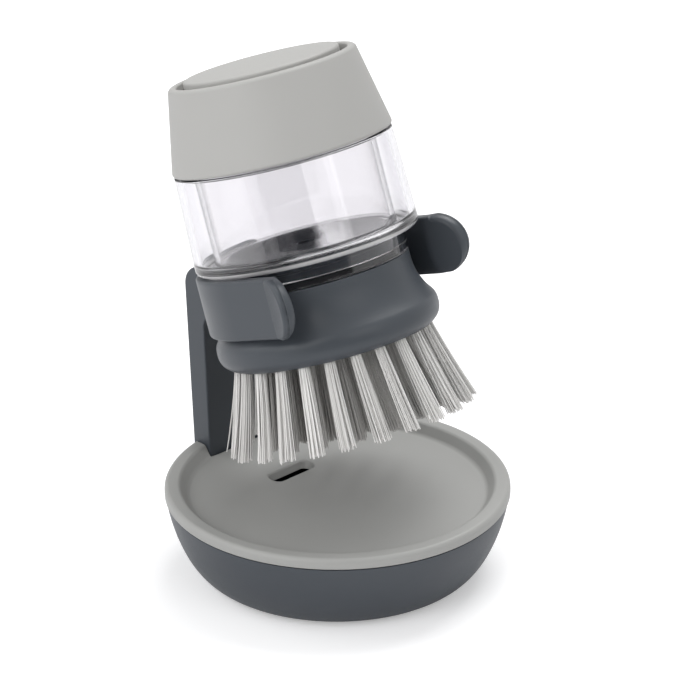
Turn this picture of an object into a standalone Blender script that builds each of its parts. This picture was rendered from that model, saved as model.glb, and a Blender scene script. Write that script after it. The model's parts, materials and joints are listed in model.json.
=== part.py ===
# Palm dish brush with a clear soap reservoir, hanging by its neck in a storage stand.
# Metres, +Z up. The origin is the centre of the stand's underside, the post stands at -X and
# the object is symmetric about the XZ plane. The brush leans back to the post, so its pieces
# are drawn upright about their own axis, with height 0 at the line between the clear neck and
# the dark head, and hang from an empty that carries the lean.
import math

import bmesh
import bpy
from mathutils import Matrix, Vector
from mathutils.geometry import delaunay_2d_cdt

# Fits
seat_gap = 0.0003          # between faces that rest on each other
running_gap = 0.0004       # beside a face that slides or turns
cut_over = 0.0020          # how far a cutter runs past what it cuts

# Faces round a turned piece, the largest angle between points of an outline's round, and the
# angle from which an edge is shaded sharp
turn_steps = 36
small_turn_steps = 16
round_step = math.radians(46)
sharp_angle = math.radians(35)
merge_distance = 0.00001

# Bowl of the stand
bowl_height = 0.0210
bowl_rim_radius = 0.0446
bowl_foot_share = 0.713         # of the rim's radius, at the foot
bowl_foot_radius = bowl_rim_radius * bowl_foot_share
bowl_wall = 0.0026
bowl_floor = 0.0022
bowl_floor_chamfer = 0.0013     # inside, where the side runs into the floor
bowl_foot_clearance = 0.0005    # its foot above the table, which only the pad touches
bowl_side_steps = 8
bowl_reach_power_share = 2.20   # powers of the curve from rim to foot
bowl_drop_power_share = 1.27

# Pad under the bowl, inside a ring of the bowl's foot
foot_ring = 0.0026
pad_radius = bowl_foot_radius - foot_ring
pad_thickness = 0.0016

# Drip tray
tray_overhang = 0.0004          # past the bowl's rim
tray_radius = bowl_rim_radius + tray_overhang
tray_rim_height = 0.0029
tray_rim_width = 0.0040
tray_rim_round = 0.0011
tray_rim_low_round = 0.0004
tray_recess = 0.0029
tray_recess_slope = 0.0020      # run of the recess wall from rim to floor
tray_dish = 0.0008              # how much lower the middle of the floor is
tray_thickness = 0.0018
tray_skirt = 0.0018             # how far its locating skirt reaches below the rim

# Post of the stand
post_width = 0.0190
post_thickness = 0.0065
post_front_inset = 0.0066       # from the bowl's rim, at the rim's height
post_front_x = post_front_inset - bowl_rim_radius
post_lean = math.radians(2.9)
post_top_round = 0.0058
post_throat_round = 0.0042      # where the post bends forward under the cradle
post_edge_round = 0.0007
post_edge_angle = math.radians(60)
post_key_drop = 0.0070          # depth of the slot in the bowl's wall that keys the post
foot_height = 0.0040
foot_stem = 0.0070              # depth of the post above its foot, front to back
foot_step_x = post_front_x + foot_stem

# Slot in the tray, in front of the post
post_to_slot = 0.0208
slot_x = post_front_x + post_to_slot
slot_length = 0.0140
slot_width = 0.0048

# Screws that hold the post from below, over the pad
screw_inset = 0.0046            # from the pad's edge
screw_x = screw_inset - pad_radius
foot_past_screw = 0.0048
foot_front_x = screw_x + foot_past_screw
screw_spread = 0.0056           # of each screw from the middle
screw_head_radius = 0.0028
screw_head_height = 0.0016
screw_radius = 0.0013
screw_grip = 0.0028             # length inside the post's foot
boss_radius = 0.0044
boss_height = 0.0024

# Brush head
neck_radius = 0.0250
neck_straight = 0.0022
tuft_seat_step = 0.0012         # of the tuft plate's seat past the neck
tuft_seat_radius = neck_radius + tuft_seat_step
flange_overhang = 0.00305       # past the tuft plate's seat
flange_radius = tuft_seat_radius + flange_overhang
head_depth = 0.0204
flange_round_width = 0.0090
flange_round_height = 0.00545
flange_round_power_share = 2.5
flare_end_share = 0.55          # of the flange's half height, where the flare runs into it
head_wall = 0.0024
head_lip = 0.0005
flare_steps = 4
flange_upper_steps = 2
flange_lower_steps = 4
outlet_radius = 0.0022
outlet_wall = 0.0026

# Tufts
slice_thickness = 0.0011
tuft_plate_thickness = 0.0035
tuft_plate_bore = 0.0062
bristle_length = 0.0222
splay_share = 1.268             # a tuft's distance from the axis at its tip, over that at its root
tuft_ring_shares = (0.927, 0.692, 0.446)    # of the seat's radius
tuft_counts = (23, 15, 9)
strands_round_tuft = 6
strand_radius = 0.00038
strand_spread_share = 0.0365    # of the seat's radius, from a tuft's middle at the root
strand_spread = tuft_seat_radius * strand_spread_share
tip_spread_share = 0.075        # and at the tip
tip_spread = tuft_seat_radius * tip_spread_share
tip_radius = 0.00042
point_tolerance = 0.0000001

# Outlet valve and its retaining ring
valve_thickness = 0.0015
valve_nose_radius = 0.0026
valve_tip_radius = 0.0013
valve_nose_length = 0.0026
retainer_wall = 0.0026

# Reservoir: outer shell
neck_ring_step = 0.0002         # of its neck past the head's
neck_ring_radius = neck_radius + neck_ring_step
shoulder_height = 0.0060
shoulder_width = 0.0042
shell_foot_radius = neck_ring_radius + shoulder_width
shell_taper = 0.0008
shell_top_radius = shell_foot_radius - shell_taper
shell_foot_round = 0.0030
shell_inner_round = 0.0015
shell_wall = 0.0019
shell_floor = 0.0020
shell_top = 0.0319
seal_thickness = 0.0015
seal_wall = 0.0015              # of the neck outside the seal

# The head's spigot inside the reservoir's neck, whose top is the deck under the soap
neck_wall = 0.0031              # from the neck's outside to the spigot
spigot_radius = neck_radius - neck_wall
deck_rise = 0.0003              # of its edge over the reservoir's floor
spigot_height = shoulder_height + shell_floor + deck_rise
spigot_round = 0.0008
deck_dish = 0.0010

# Reservoir: soap chamber
chamber_inset = 0.0029          # from the shell's inside
chamber_radius = shell_top_radius - shell_wall - chamber_inset
chamber_wall = 0.0012
chamber_rise = 0.0046           # over the shell's top
chamber_top = shell_top + chamber_rise
chamber_flange = 0.0015

# Lid under the cap
gasket_thickness = 0.0010
lid_skirt_wall = 0.0010
lid_thickness = 0.0020
lid_skirt_drop = 0.0028
lid_bore = 0.0015

# Air valve in the lid
air_valve_inset = 0.0046        # from the chamber's inside
air_valve_x = chamber_radius - chamber_wall - air_valve_inset
air_valve_radius = 0.0024
air_valve_thickness = 0.0008
air_stem_radius = 0.0008
air_bead_radius = 0.0015

# Cap
cap_height = 0.0221
cap_overhang = 0.0004           # past the shell's top
cap_radius = shell_top_radius + cap_overhang
cap_taper = math.radians(11.5)
cap_foot_round = 0.0016
cap_top_round = 0.0042
cap_wall = 0.0020
cap_lip = 0.0020                # depth of the lip round the button
cap_lip_round = 0.0005
cap_ring = 0.0066               # from its foot's radius to its opening's
cap_opening_radius = cap_radius - cap_ring
cap_rib_height = 0.0015
cap_rib_width = 0.0018

# Push button
button_play = 0.0020            # ring of dark round it
button_radius = cap_opening_radius - button_play
button_proud = 0.0009           # of its edge above the cap
button_crown = 0.0011           # rise of its middle over its edge
button_hollow_crown = 0.0005    # and of its hollow's middle
button_crown_steps = 4
button_edge_round = 0.0007
button_wall = 0.0018
button_catch = 0.0005           # of its flange behind the cap's lip
button_flange_radius = cap_opening_radius + button_catch
button_flange_height = 0.0012

# Spring and pump bulb under the button
bulb_radius = 0.0066
bulb_top_radius = 0.0040
bulb_foot = 0.0012
bulb_wall = 0.0009
spring_play = 0.0020            # round the bulb's foot
spring_radius = bulb_radius + bulb_foot + spring_play
spring_wire = 0.0005
spring_turns = 5
spring_points = 10              # to a turn

# Cradle round the neck
cradle_top_gap = 0.0003         # under the reservoir's shoulder
cradle_play = 0.0010            # round the head's neck
cradle_wall = 0.0038
cradle_radius = neck_radius + cradle_play + cradle_wall
cradle_reach_share = 0.79       # how far down the head's flare it reaches
cradle_top_round = 0.0008
cradle_bottom_round = 0.0011
cradle_inner_top_round = 0.0008
cradle_inner_low_round = 0.0004
cradle_flare_steps = 3
ear_angle = math.radians(24)
ear_length = 0.0091
ear_bend = 0.0012
ear_inset = 0.0057              # of the ears' ends from the side of the reservoir above them
ear_reach = ear_length * math.cos(ear_angle) + ear_bend * math.sin(ear_angle)
arm_length = shell_foot_radius - ear_inset - ear_reach      # straight run past the axis
ear_round_share = 1.03          # radius of the ear's round end over half the cradle's height
ear_bend_steps = 3
ear_round_steps = 10
ear_weld_distance = 0.00002
cradle_embed = 0.0006           # how deep the post's end lies in the cradle's wall

# Where the brush hangs: against the post, its lowest tips over the edge of the tray's floor
lean = math.radians(19.8)
post_to_cradle = 0.001762       # from the post's front at the rim's height
neck_x = post_front_x + cradle_radius * math.cos(lean) + post_to_cradle
tip_clearance = 0.00952


def clear_scene():
    for thing in list(bpy.data.objects):
        bpy.data.objects.remove(thing, do_unlink=True)


def make_collection(name):
    group = bpy.data.collections.new(name)
    bpy.context.scene.collection.children.link(group)
    return group


def make_finish(name, colour, roughness, transmission=0.0):
    finish = bpy.data.materials.new(name)
    finish.use_nodes = True
    shader = finish.node_tree.nodes["Principled BSDF"]
    shader.inputs["Base Color"].default_value = (*colour, 1.0)
    shader.inputs["Roughness"].default_value = roughness
    shader.inputs["Metallic"].default_value = 0.0
    shader.inputs["Transmission Weight"].default_value = transmission
    return finish


def rounded(corners, closed=True):
    # Outline through corners (across, up, radius), each turned with an arc of its radius.
    outline = []
    for index, (across, up, radius) in enumerate(corners):
        here = Vector((across, up))
        is_end = not closed and index in (0, len(corners) - 1)
        if radius == 0 or is_end:
            outline.append((across, up))
            continue
        before = Vector(corners[index - 1][:2]) - here
        after = Vector(corners[(index + 1) % len(corners)][:2]) - here
        half = before.angle(after) / 2
        reach = min(radius / math.tan(half), before.length / 2, after.length / 2)
        radius = reach * math.tan(half)
        start = here + before.normalized() * reach
        middle = (before.normalized() + after.normalized()).normalized()
        centre = here + middle * (radius / math.sin(half))
        arm = start - centre
        turn = math.pi - 2 * half
        if before.x * after.y - before.y * after.x > 0:
            turn = -turn
        steps = max(1, math.ceil(abs(turn) / round_step))
        for step in range(steps + 1):
            angle = turn * step / steps
            outline.append((centre.x + arm.x * math.cos(angle) - arm.y * math.sin(angle),
                            centre.y + arm.x * math.sin(angle) + arm.y * math.cos(angle)))
    return outline


def place(thing, group, finish=None, frame=None):
    group.objects.link(thing)
    thing.parent = frame
    if finish:
        thing.data.materials.append(finish)
    return thing


def turned(name, outline, group, finish, frame=None, closed=False, steps=turn_steps):
    # Solid turned about the vertical axis from an outline that runs down its outer side.
    mesh = bpy.data.meshes.new(name)
    count = len(outline)
    edges = [(index, index + 1) for index in range(count - 1)]
    if closed:
        edges.append((count - 1, 0))
    mesh.from_pydata([(across, 0, up) for across, up in outline], edges, [])
    thing = place(bpy.data.objects.new(name, mesh), group, finish, frame)
    screw = thing.modifiers.new("Turn", "SCREW")
    screw.axis = "Z"
    screw.steps = steps
    screw.render_steps = steps
    screw.use_merge_vertices = True
    screw.merge_threshold = merge_distance
    return thing


def slab(name, outline, thickness, group, finish=None, frame=None, upright=True):
    # Flat outline given a thickness. An upright one lies in XZ and is thick along Y.
    flat = bpy.data.curves.new(name, "CURVE")
    flat.dimensions = "2D"
    flat.fill_mode = "BOTH"
    flat.extrude = thickness / 2
    run = flat.splines.new("POLY")
    run.points.add(len(outline) - 1)
    for point, (across, up) in zip(run.points, outline):
        point.co = (across, up, 0, 1)
    run.use_cyclic_u = True
    pattern = bpy.data.objects.new(name + "_pattern", flat)
    bpy.context.scene.collection.objects.link(pattern)
    bpy.context.view_layer.update()
    seen = pattern.evaluated_get(bpy.context.evaluated_depsgraph_get())
    mesh = bpy.data.meshes.new_from_object(seen)
    mesh.name = name
    if upright:
        mesh.transform(Matrix.Rotation(math.pi / 2, 4, "X"))
    bpy.data.objects.remove(pattern)
    bpy.data.curves.remove(flat)
    close_up(mesh)
    return place(bpy.data.objects.new(name, mesh), group, finish, frame)


def close_up(mesh):
    shape = bmesh.new()
    shape.from_mesh(mesh)
    bmesh.ops.remove_doubles(shape, verts=shape.verts, dist=merge_distance)
    bmesh.ops.recalc_face_normals(shape, faces=shape.faces)
    shape.to_mesh(mesh)
    shape.free()


def block(name, low, high, group, frame=None):
    shape = bmesh.new()
    bmesh.ops.create_cube(shape, size=1.0)
    low, high = Vector(low), Vector(high)
    for vert in shape.verts:
        vert.co = (low + high) / 2 + vert.co * (high - low)
    mesh = bpy.data.meshes.new(name)
    shape.to_mesh(mesh)
    shape.free()
    return place(bpy.data.objects.new(name, mesh), group, None, frame)


def rod(name, radius, low, high, at, group, frame=None):
    shape = bmesh.new()
    bmesh.ops.create_cone(shape, cap_ends=True, segments=small_turn_steps,
                          radius1=radius, radius2=radius, depth=high - low)
    bmesh.ops.translate(shape, verts=shape.verts, vec=(at[0], at[1], (low + high) / 2))
    mesh = bpy.data.meshes.new(name)
    shape.to_mesh(mesh)
    shape.free()
    return place(bpy.data.objects.new(name, mesh), group, None, frame)


def combine(thing, other, operation):
    other.hide_render = True
    other.display_type = "WIRE"
    step = thing.modifiers.new(other.name, "BOOLEAN")
    step.operation = operation
    step.solver = "EXACT"
    step.object = other


def smooth(thing):
    if thing.type == "MESH":
        thing.data.shade_smooth()
        thing.data.set_sharp_from_angle(angle=sharp_angle)


def stack_heights():
    # Heights above the neck line that neighbouring pieces share.
    up = {}
    up["flange_middle"] = flange_round_height - head_depth
    up["flare_low"] = up["flange_middle"] + flare_end_share * flange_round_height
    up["underside"] = up["flange_middle"] - flange_round_height * power_other(lip_share())
    up["plate_low"] = up["underside"] + slice_thickness + seat_gap
    up["plate_high"] = up["plate_low"] + tuft_plate_thickness
    up["tuft_seat"] = up["plate_high"] + seat_gap
    up["deck_low"] = spigot_height - deck_dish - head_wall
    up["shell_floor"] = shoulder_height + shell_floor
    up["gasket_low"] = chamber_top + seat_gap
    up["lid_low"] = up["gasket_low"] + gasket_thickness + seat_gap
    up["lid_high"] = up["lid_low"] + lid_thickness
    up["cap_low"] = shell_top + seat_gap
    up["cap_high"] = up["cap_low"] + cap_height
    up["lip_low"] = up["cap_high"] - cap_lip
    up["button_flange_high"] = up["lip_low"] - seat_gap
    up["button_flange_low"] = up["button_flange_high"] - button_flange_height
    up["button_edge"] = up["cap_high"] + button_proud
    up["button_ceiling"] = up["button_edge"] - button_wall
    up["cradle_high"] = shoulder_height - cradle_top_gap
    up["cradle_low"] = -neck_straight - cradle_reach_share * (-neck_straight - up["flare_low"])
    return up


def flange_core_radius():
    return flange_radius - flange_round_width


def lip_share():
    # How far out on the flange's round its lip round the tufts begins.
    return (tuft_seat_radius + head_lip - flange_core_radius()) / flange_round_width


def power_other(share):
    # The other share of a point on the flange's round, from the first.
    return (1 - share ** flange_round_power_share) ** (1 / flange_round_power_share)


def power_round(angle):
    power = 2 / flange_round_power_share
    return math.cos(angle) ** power, math.sin(angle) ** power


def flare_radius(up):
    # Of the arc that starts upright at the neck and ends on the flange's round.
    out = flange_core_radius() + flange_round_width * power_other(flare_end_share) - neck_radius
    drop = -neck_straight - up["flare_low"]
    return (out ** 2 + drop ** 2) / (2 * out)


def neck_z(up):
    # Height of the neck line, from the tray's floor up to the lowest tip and along the brush.
    reach = tuft_seat_radius * tuft_ring_shares[0] * splay_share + tip_spread + tip_radius
    depth = bristle_length - up["underside"]
    tip_z = tray_levels()[2] + tip_clearance
    return tip_z + depth * math.cos(lean) + reach * math.sin(lean)


def bowl_radius(height):
    # Outer radius of the bowl at a height, from its foot to its rim.
    drop = (bowl_height - height) / (bowl_height - bowl_foot_clearance)
    reach = (1 - drop ** bowl_drop_power_share) ** (1 / bowl_reach_power_share)
    return bowl_foot_radius + (bowl_rim_radius - bowl_foot_radius) * reach


def pad_seat_height():
    return pad_thickness + seat_gap


def floor_height():
    return pad_seat_height() + bowl_floor


def make_base_pad(group, finish):
    outline = [(0, pad_thickness), (pad_radius, pad_thickness), (pad_radius, 0), (0, 0)]
    return turned("base_pad", outline, group, finish)


def make_bowl(group, tools, finish):
    outer = []
    for step in range(bowl_side_steps + 1):
        angle = math.pi / 2 * step / bowl_side_steps
        across = math.cos(angle) ** (2 / bowl_reach_power_share)
        drop = math.sin(angle) ** (2 / bowl_drop_power_share)
        height = bowl_height - (bowl_height - bowl_foot_clearance) * drop
        outer.append((bowl_foot_radius + (bowl_rim_radius - bowl_foot_radius) * across, height))
    outer[-1] = (bowl_foot_radius, bowl_foot_clearance)
    floor = floor_height()
    turn = floor + bowl_floor_chamfer
    inner = [(across - bowl_wall, up) for across, up in outer if up > turn]
    inner.append((bowl_radius(floor) - bowl_wall - bowl_floor_chamfer, floor))
    recess = pad_radius + seat_gap
    outline = [(0, floor)] + inner[::-1] + outer
    outline += [(recess, bowl_foot_clearance), (recess, pad_seat_height()), (0, pad_seat_height())]
    bowl = turned("stand_base", outline, group, finish)
    half = post_width / 2 + seat_gap
    low = (-tray_radius - cut_over, -half, bowl_height - post_key_drop - seat_gap)
    high = (post_front_x, half, bowl_height + cut_over)
    head_room = screw_head_height + 2 * seat_gap
    for side in (-1, 1):
        at = (screw_x, side * screw_spread)
        name = "boss_left" if side < 0 else "boss_right"
        boss = rod(name, boss_radius, floor - bowl_floor / 2, boss_top(), at, tools)
        combine(bowl, boss, "UNION")
    for side in (-1, 1):
        at = (screw_x, side * screw_spread)
        name = "left" if side < 0 else "right"
        bore = rod("screw_bore_" + name, screw_radius + seat_gap, 0, boss_top() + cut_over,
                   at, tools)
        sink = rod("screw_sink_" + name, screw_head_radius + seat_gap, 0,
                   pad_seat_height() + head_room, at, tools)
        combine(bowl, bore, "DIFFERENCE")
        combine(bowl, sink, "DIFFERENCE")
    combine(bowl, block("post_key", low, high, tools), "DIFFERENCE")
    return bowl


def boss_top():
    return pad_seat_height() + screw_head_height + 2 * seat_gap + boss_height


def make_screws(group, finish):
    head_low = pad_seat_height() + seat_gap
    head_high = head_low + screw_head_height
    tip = boss_top() + seat_gap + screw_grip
    outline = [(0, tip), (screw_radius, tip), (screw_radius, head_high),
               (screw_head_radius, head_high), (screw_head_radius, head_low), (0, head_low)]
    screws = []
    for number, side in ((1, -1), (2, 1)):
        screw = turned(f"post_screw_{number}", outline, group, finish, steps=small_turn_steps)
        screw.location = (screw_x, side * screw_spread, 0)
        screws.append(screw)
    return screws


def tray_levels():
    rim_low = bowl_height + seat_gap
    rim_high = rim_low + tray_rim_height
    floor_edge = rim_high - tray_recess
    return rim_low, rim_high, floor_edge, floor_edge - tray_dish


def make_tray(group, tools, finish):
    rim_low, rim_high, floor_edge, floor_middle = tray_levels()
    skirt_low = rim_low - tray_skirt
    skirt_radius = bowl_radius(skirt_low) - bowl_wall - running_gap
    rim_inner = tray_radius - tray_rim_width
    floor_radius = rim_inner - tray_recess_slope
    corners = [
        (0, floor_middle, 0),
        (floor_radius, floor_edge, tray_recess_slope),
        (rim_inner, rim_high, tray_rim_round),
        (tray_radius, rim_high, tray_rim_round),
        (tray_radius, rim_low, tray_rim_low_round),
        (skirt_radius, rim_low, 0),
        (skirt_radius, skirt_low, 0),
        (skirt_radius - tray_thickness, skirt_low, 0),
        (floor_radius - tray_thickness, floor_edge - tray_thickness, 0),
        (0, floor_middle - tray_thickness, 0),
    ]
    tray = turned("drip_tray", rounded(corners, closed=False), group, finish)
    half = post_width / 2 + running_gap
    low = (-tray_radius - cut_over, -half, skirt_low - cut_over)
    high = (post_front_x + running_gap, half, rim_high + cut_over)
    combine(tray, block("post_notch", low, high, tools), "DIFFERENCE")
    reach, half = slot_length / 2, slot_width / 2
    corners = [(slot_x - half, -reach, half), (slot_x + half, -reach, half),
               (slot_x + half, reach, half), (slot_x - half, reach, half)]
    depth = 2 * (tray_thickness + cut_over)
    slot = slab("drain_slot_cutter", rounded(corners), depth, tools, upright=False)
    slot.location.z = floor_middle
    combine(tray, slot, "DIFFERENCE")
    return tray


def cradle_inner_radius(up, height):
    # Inner face of the cradle, which keeps its gap to the head's neck and flare.
    centre = neck_radius + flare_radius(up)
    depth = max(0, -neck_straight - height)
    return centre - math.sqrt((flare_radius(up) - cradle_play) ** 2 - depth ** 2)


def cradle_section(up):
    low, high = up["cradle_low"], up["cradle_high"]
    inner = []
    for step in range(1, cradle_flare_steps + 1):
        height = low + (-neck_straight - low) * step / cradle_flare_steps
        inner.append((cradle_inner_radius(up, height), height, 0))
    corners = [(cradle_inner_radius(up, 0), high, cradle_inner_top_round),
               (cradle_radius, high, cradle_top_round),
               (cradle_radius, low, cradle_bottom_round),
               (cradle_inner_radius(up, low), low, cradle_inner_low_round)]
    return rounded(corners + inner)


def make_cradle(up, tools, frame):
    # Half of the cradle: its section spun a quarter turn round the neck, run straight along
    # the brush's way out, bent outward and run on as an ear. Mirror makes the other half.
    shape = bmesh.new()
    verts = [shape.verts.new((-across, 0, high)) for across, high in cradle_section(up)]
    edges = [shape.edges.new((verts[index - 1], verts[index])) for index in range(len(verts))]
    spun = bmesh.ops.spin(shape, geom=verts + edges, cent=(0, 0, 0), axis=(0, 0, 1),
                          angle=-math.pi / 2, steps=turn_steps // 4, use_duplicate=False)
    end = spun["geom_last"]
    end = run_on(shape, end, Vector((arm_length, 0, 0)))
    pivot = (arm_length, cradle_radius + ear_bend, 0)
    spun = bmesh.ops.spin(shape, geom=end, cent=pivot, axis=(0, 0, 1), angle=ear_angle,
                          steps=ear_bend_steps, use_duplicate=False)
    ear = Vector((math.cos(ear_angle), math.sin(ear_angle), 0)) * ear_length
    end = run_on(shape, spun["geom_last"], ear)
    bmesh.ops.contextual_create(shape, geom=end)
    bmesh.ops.recalc_face_normals(shape, faces=shape.faces)
    mesh = bpy.data.meshes.new("cradle_half")
    shape.to_mesh(mesh)
    shape.free()
    cradle = place(bpy.data.objects.new("cradle", mesh), tools, None, frame)
    mirror = cradle.modifiers.new("Other side", "MIRROR")
    mirror.use_axis = (False, True, False)
    mirror.merge_threshold = merge_distance
    combine(cradle, make_ear_trim(up, tools, frame), "DIFFERENCE")
    weld = cradle.modifiers.new("Weld", "WELD")
    weld.merge_threshold = ear_weld_distance
    return cradle


def run_on(shape, end, step):
    edges = [part for part in end if isinstance(part, bmesh.types.BMEdge)]
    grown = bmesh.ops.extrude_edge_only(shape, edges=edges)["geom"]
    verts = [part for part in grown if isinstance(part, bmesh.types.BMVert)]
    edges = [part for part in grown if isinstance(part, bmesh.types.BMEdge)]
    bmesh.ops.translate(shape, verts=verts, vec=step)
    loop = [edge for edge in edges if all(vert in verts for vert in edge.verts)]
    return verts + loop


def make_ear_trim(up, tools, frame):
    # Cuts the ears' ends round, seen from the side.
    low, high = up["cradle_low"], up["cradle_high"]
    half = ear_round_share * (high - low) / 2
    middle = (high + low) / 2
    tip = arm_length + ear_reach
    centre = tip - half
    outline = [(centre, middle + half + cut_over), (tip + cut_over, middle + half + cut_over),
               (tip + cut_over, middle - half - cut_over), (centre, middle - half - cut_over)]
    for step in range(ear_round_steps + 1):
        angle = -math.pi / 2 + math.pi * step / ear_round_steps
        outline.append((centre + half * math.cos(angle), middle + half * math.sin(angle)))
    width = 4 * (cradle_radius + ear_length)
    return slab("ear_trim", outline, width, tools, frame=frame)


def make_post(up, cradle, group, tools, finish, frame):
    # Post and cradle are one moulding. The post's side outline runs up from its foot inside
    # the bowl, bends forward under the cradle and ends inside the cradle's wall.
    half = post_width / 2
    wall_middle = -(cradle_radius - cradle_embed)

    def from_cradle(across, height):
        spot = frame.matrix_world @ Vector((across, 0, height))
        return spot.x, spot.z

    def front_x(height):
        return post_front_x - (height - bowl_height) * math.tan(post_lean)

    def inside_bowl(height):
        return -math.sqrt((bowl_radius(height) - bowl_wall) ** 2 - half ** 2) + seat_gap

    throat_up = up["cradle_low"] + cradle_bottom_round + cradle_embed
    crest_up = up["cradle_high"] - cradle_top_round
    throat = from_cradle(wall_middle, throat_up)
    crest = from_cradle(wall_middle, crest_up)
    slope = math.tan(lean)
    throat_drop = (throat[1] - slope * (throat[0] - post_front_x) - bowl_height)
    throat_z = bowl_height + throat_drop / (1 + slope * math.tan(post_lean))
    throat_corner = (front_x(throat_z), throat_z)
    back_z = crest[1] - slope * (crest[0] - post_front_x + post_thickness)
    back_corner = (front_x(back_z) - post_thickness, back_z)
    sill = bowl_height + seat_gap
    key_low = bowl_height - post_key_drop
    foot_low = boss_top() + seat_gap
    foot_high = foot_low + foot_height
    step_high = sill - tray_skirt - tray_thickness - tray_dish - cut_over
    flush = -math.sqrt(bowl_rim_radius ** 2 - half ** 2)
    lower = (foot_low + key_low) / 2
    corners = [
        (post_front_x, step_high, 0),
        (*throat_corner, post_throat_round),
        (*throat, 0),
        (*crest, 0),
        (*back_corner, post_top_round),
        (post_front_x - post_thickness, sill, post_edge_round),
        (flush, sill, 0),
        (-math.sqrt(bowl_radius(key_low) ** 2 - half ** 2), key_low, 0),
        (inside_bowl(key_low), key_low, 0),
        (inside_bowl(lower), lower, 0),
        (inside_bowl(foot_low), foot_low, 0),
        (foot_front_x, foot_low, 0),
        (foot_front_x, foot_high, post_edge_round),
        (foot_step_x, foot_high, post_edge_round),
        (foot_step_x, step_high, post_edge_round),
    ]
    post = slab("stand_post", rounded(corners), post_width, group, finish)
    bevel = post.modifiers.new("Edges", "BEVEL")
    bevel.width = post_edge_round
    bevel.segments = 1
    bevel.limit_method = "ANGLE"
    bevel.angle_limit = post_edge_angle
    combine(post, cradle, "UNION")
    for side in (-1, 1):
        name = "pilot_left" if side < 0 else "pilot_right"
        pilot = rod(name, screw_radius + seat_gap, foot_low - cut_over,
                    foot_low + screw_grip + seat_gap, (screw_x, side * screw_spread), tools)
        combine(post, pilot, "DIFFERENCE")
    return post


def make_head(up, group, finish, frame):
    core, middle, flare = flange_core_radius(), up["flange_middle"], flare_radius(up)
    outline = [(neck_radius, -neck_straight)]
    for step in range(1, flare_steps):
        drop = (-neck_straight - up["flare_low"]) * step / flare_steps
        across = neck_radius + flare - math.sqrt(flare ** 2 - drop ** 2)
        outline.append((across, -neck_straight - drop))
    first = math.asin(flare_end_share ** (flange_round_power_share / 2))
    last = math.acos(lip_share() ** (flange_round_power_share / 2))
    for step in range(flange_upper_steps, 0, -1):
        across, rise = power_round(first * step / flange_upper_steps)
        outline.append((core + flange_round_width * across, middle + flange_round_height * rise))
    for step in range(flange_lower_steps + 1):
        across, fall = power_round(last * step / flange_lower_steps)
        outline.append((core + flange_round_width * across, middle - flange_round_height * fall))
    cavity = neck_radius - head_wall
    spigot_cavity = spigot_radius - head_wall
    tube = outlet_radius + outlet_wall
    top = rounded([(outlet_radius, spigot_height - deck_dish, 0),
                   (spigot_radius, spigot_height, spigot_round),
                   (spigot_radius, 0, 0)], closed=False)
    outline = top + [(neck_radius, 0)] + outline
    outline += [
        (tuft_seat_radius, up["underside"]),
        (tuft_seat_radius, up["tuft_seat"]),
        (cavity, up["tuft_seat"]),
        (cavity, -head_wall),
        (spigot_cavity, -head_wall),
        (spigot_cavity, up["deck_low"]),
        (tube, up["deck_low"]),
        (tube, up["tuft_seat"]),
        (outlet_radius, up["tuft_seat"]),
    ]
    return turned("brush_head", outline, group, finish, frame, closed=True)


def make_tuft_plate(up, group, finish, frame):
    outer = tuft_seat_radius - seat_gap
    outline = [(outer, up["plate_high"]), (outer, up["plate_low"]),
               (tuft_plate_bore, up["plate_low"]), (tuft_plate_bore, up["plate_high"])]
    return turned("tuft_plate", outline, group, finish, frame, closed=True)


def strand_feet():
    # Each strand's root and tip: a triangle there and here, both about the axis. A tuft's
    # middle moves out by one share for all, and its strands spread by less than the space
    # between tufts grows, so no strand meets another.
    for ring_share, count in zip(tuft_ring_shares, tuft_counts):
        ring_radius = tuft_seat_radius * ring_share
        for tuft in range(count):
            around = 2 * math.pi * (tuft + 0.5) / count
            middle = Vector((math.cos(around), math.sin(around))) * ring_radius
            offsets = [Vector((0, 0))]
            for strand in range(strands_round_tuft):
                turn = around + 2 * math.pi * strand / strands_round_tuft
                offsets.append(Vector((math.cos(turn), math.sin(turn))))
            for offset in offsets:
                root = middle + offset * strand_spread
                tip = middle * splay_share + offset * tip_spread
                yield triangle(root, strand_radius, around), triangle(tip, tip_radius, around)


def triangle(middle, radius, turn):
    corners = [turn + 2 * math.pi * side / 3 for side in range(3)]
    return [middle + Vector((math.cos(corner), math.sin(corner))) * radius
            for corner in corners]


def ring_points(radius, count):
    return [Vector((math.cos(2 * math.pi * step / count), math.sin(2 * math.pi * step / count)))
            * radius for step in range(count)]


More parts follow.
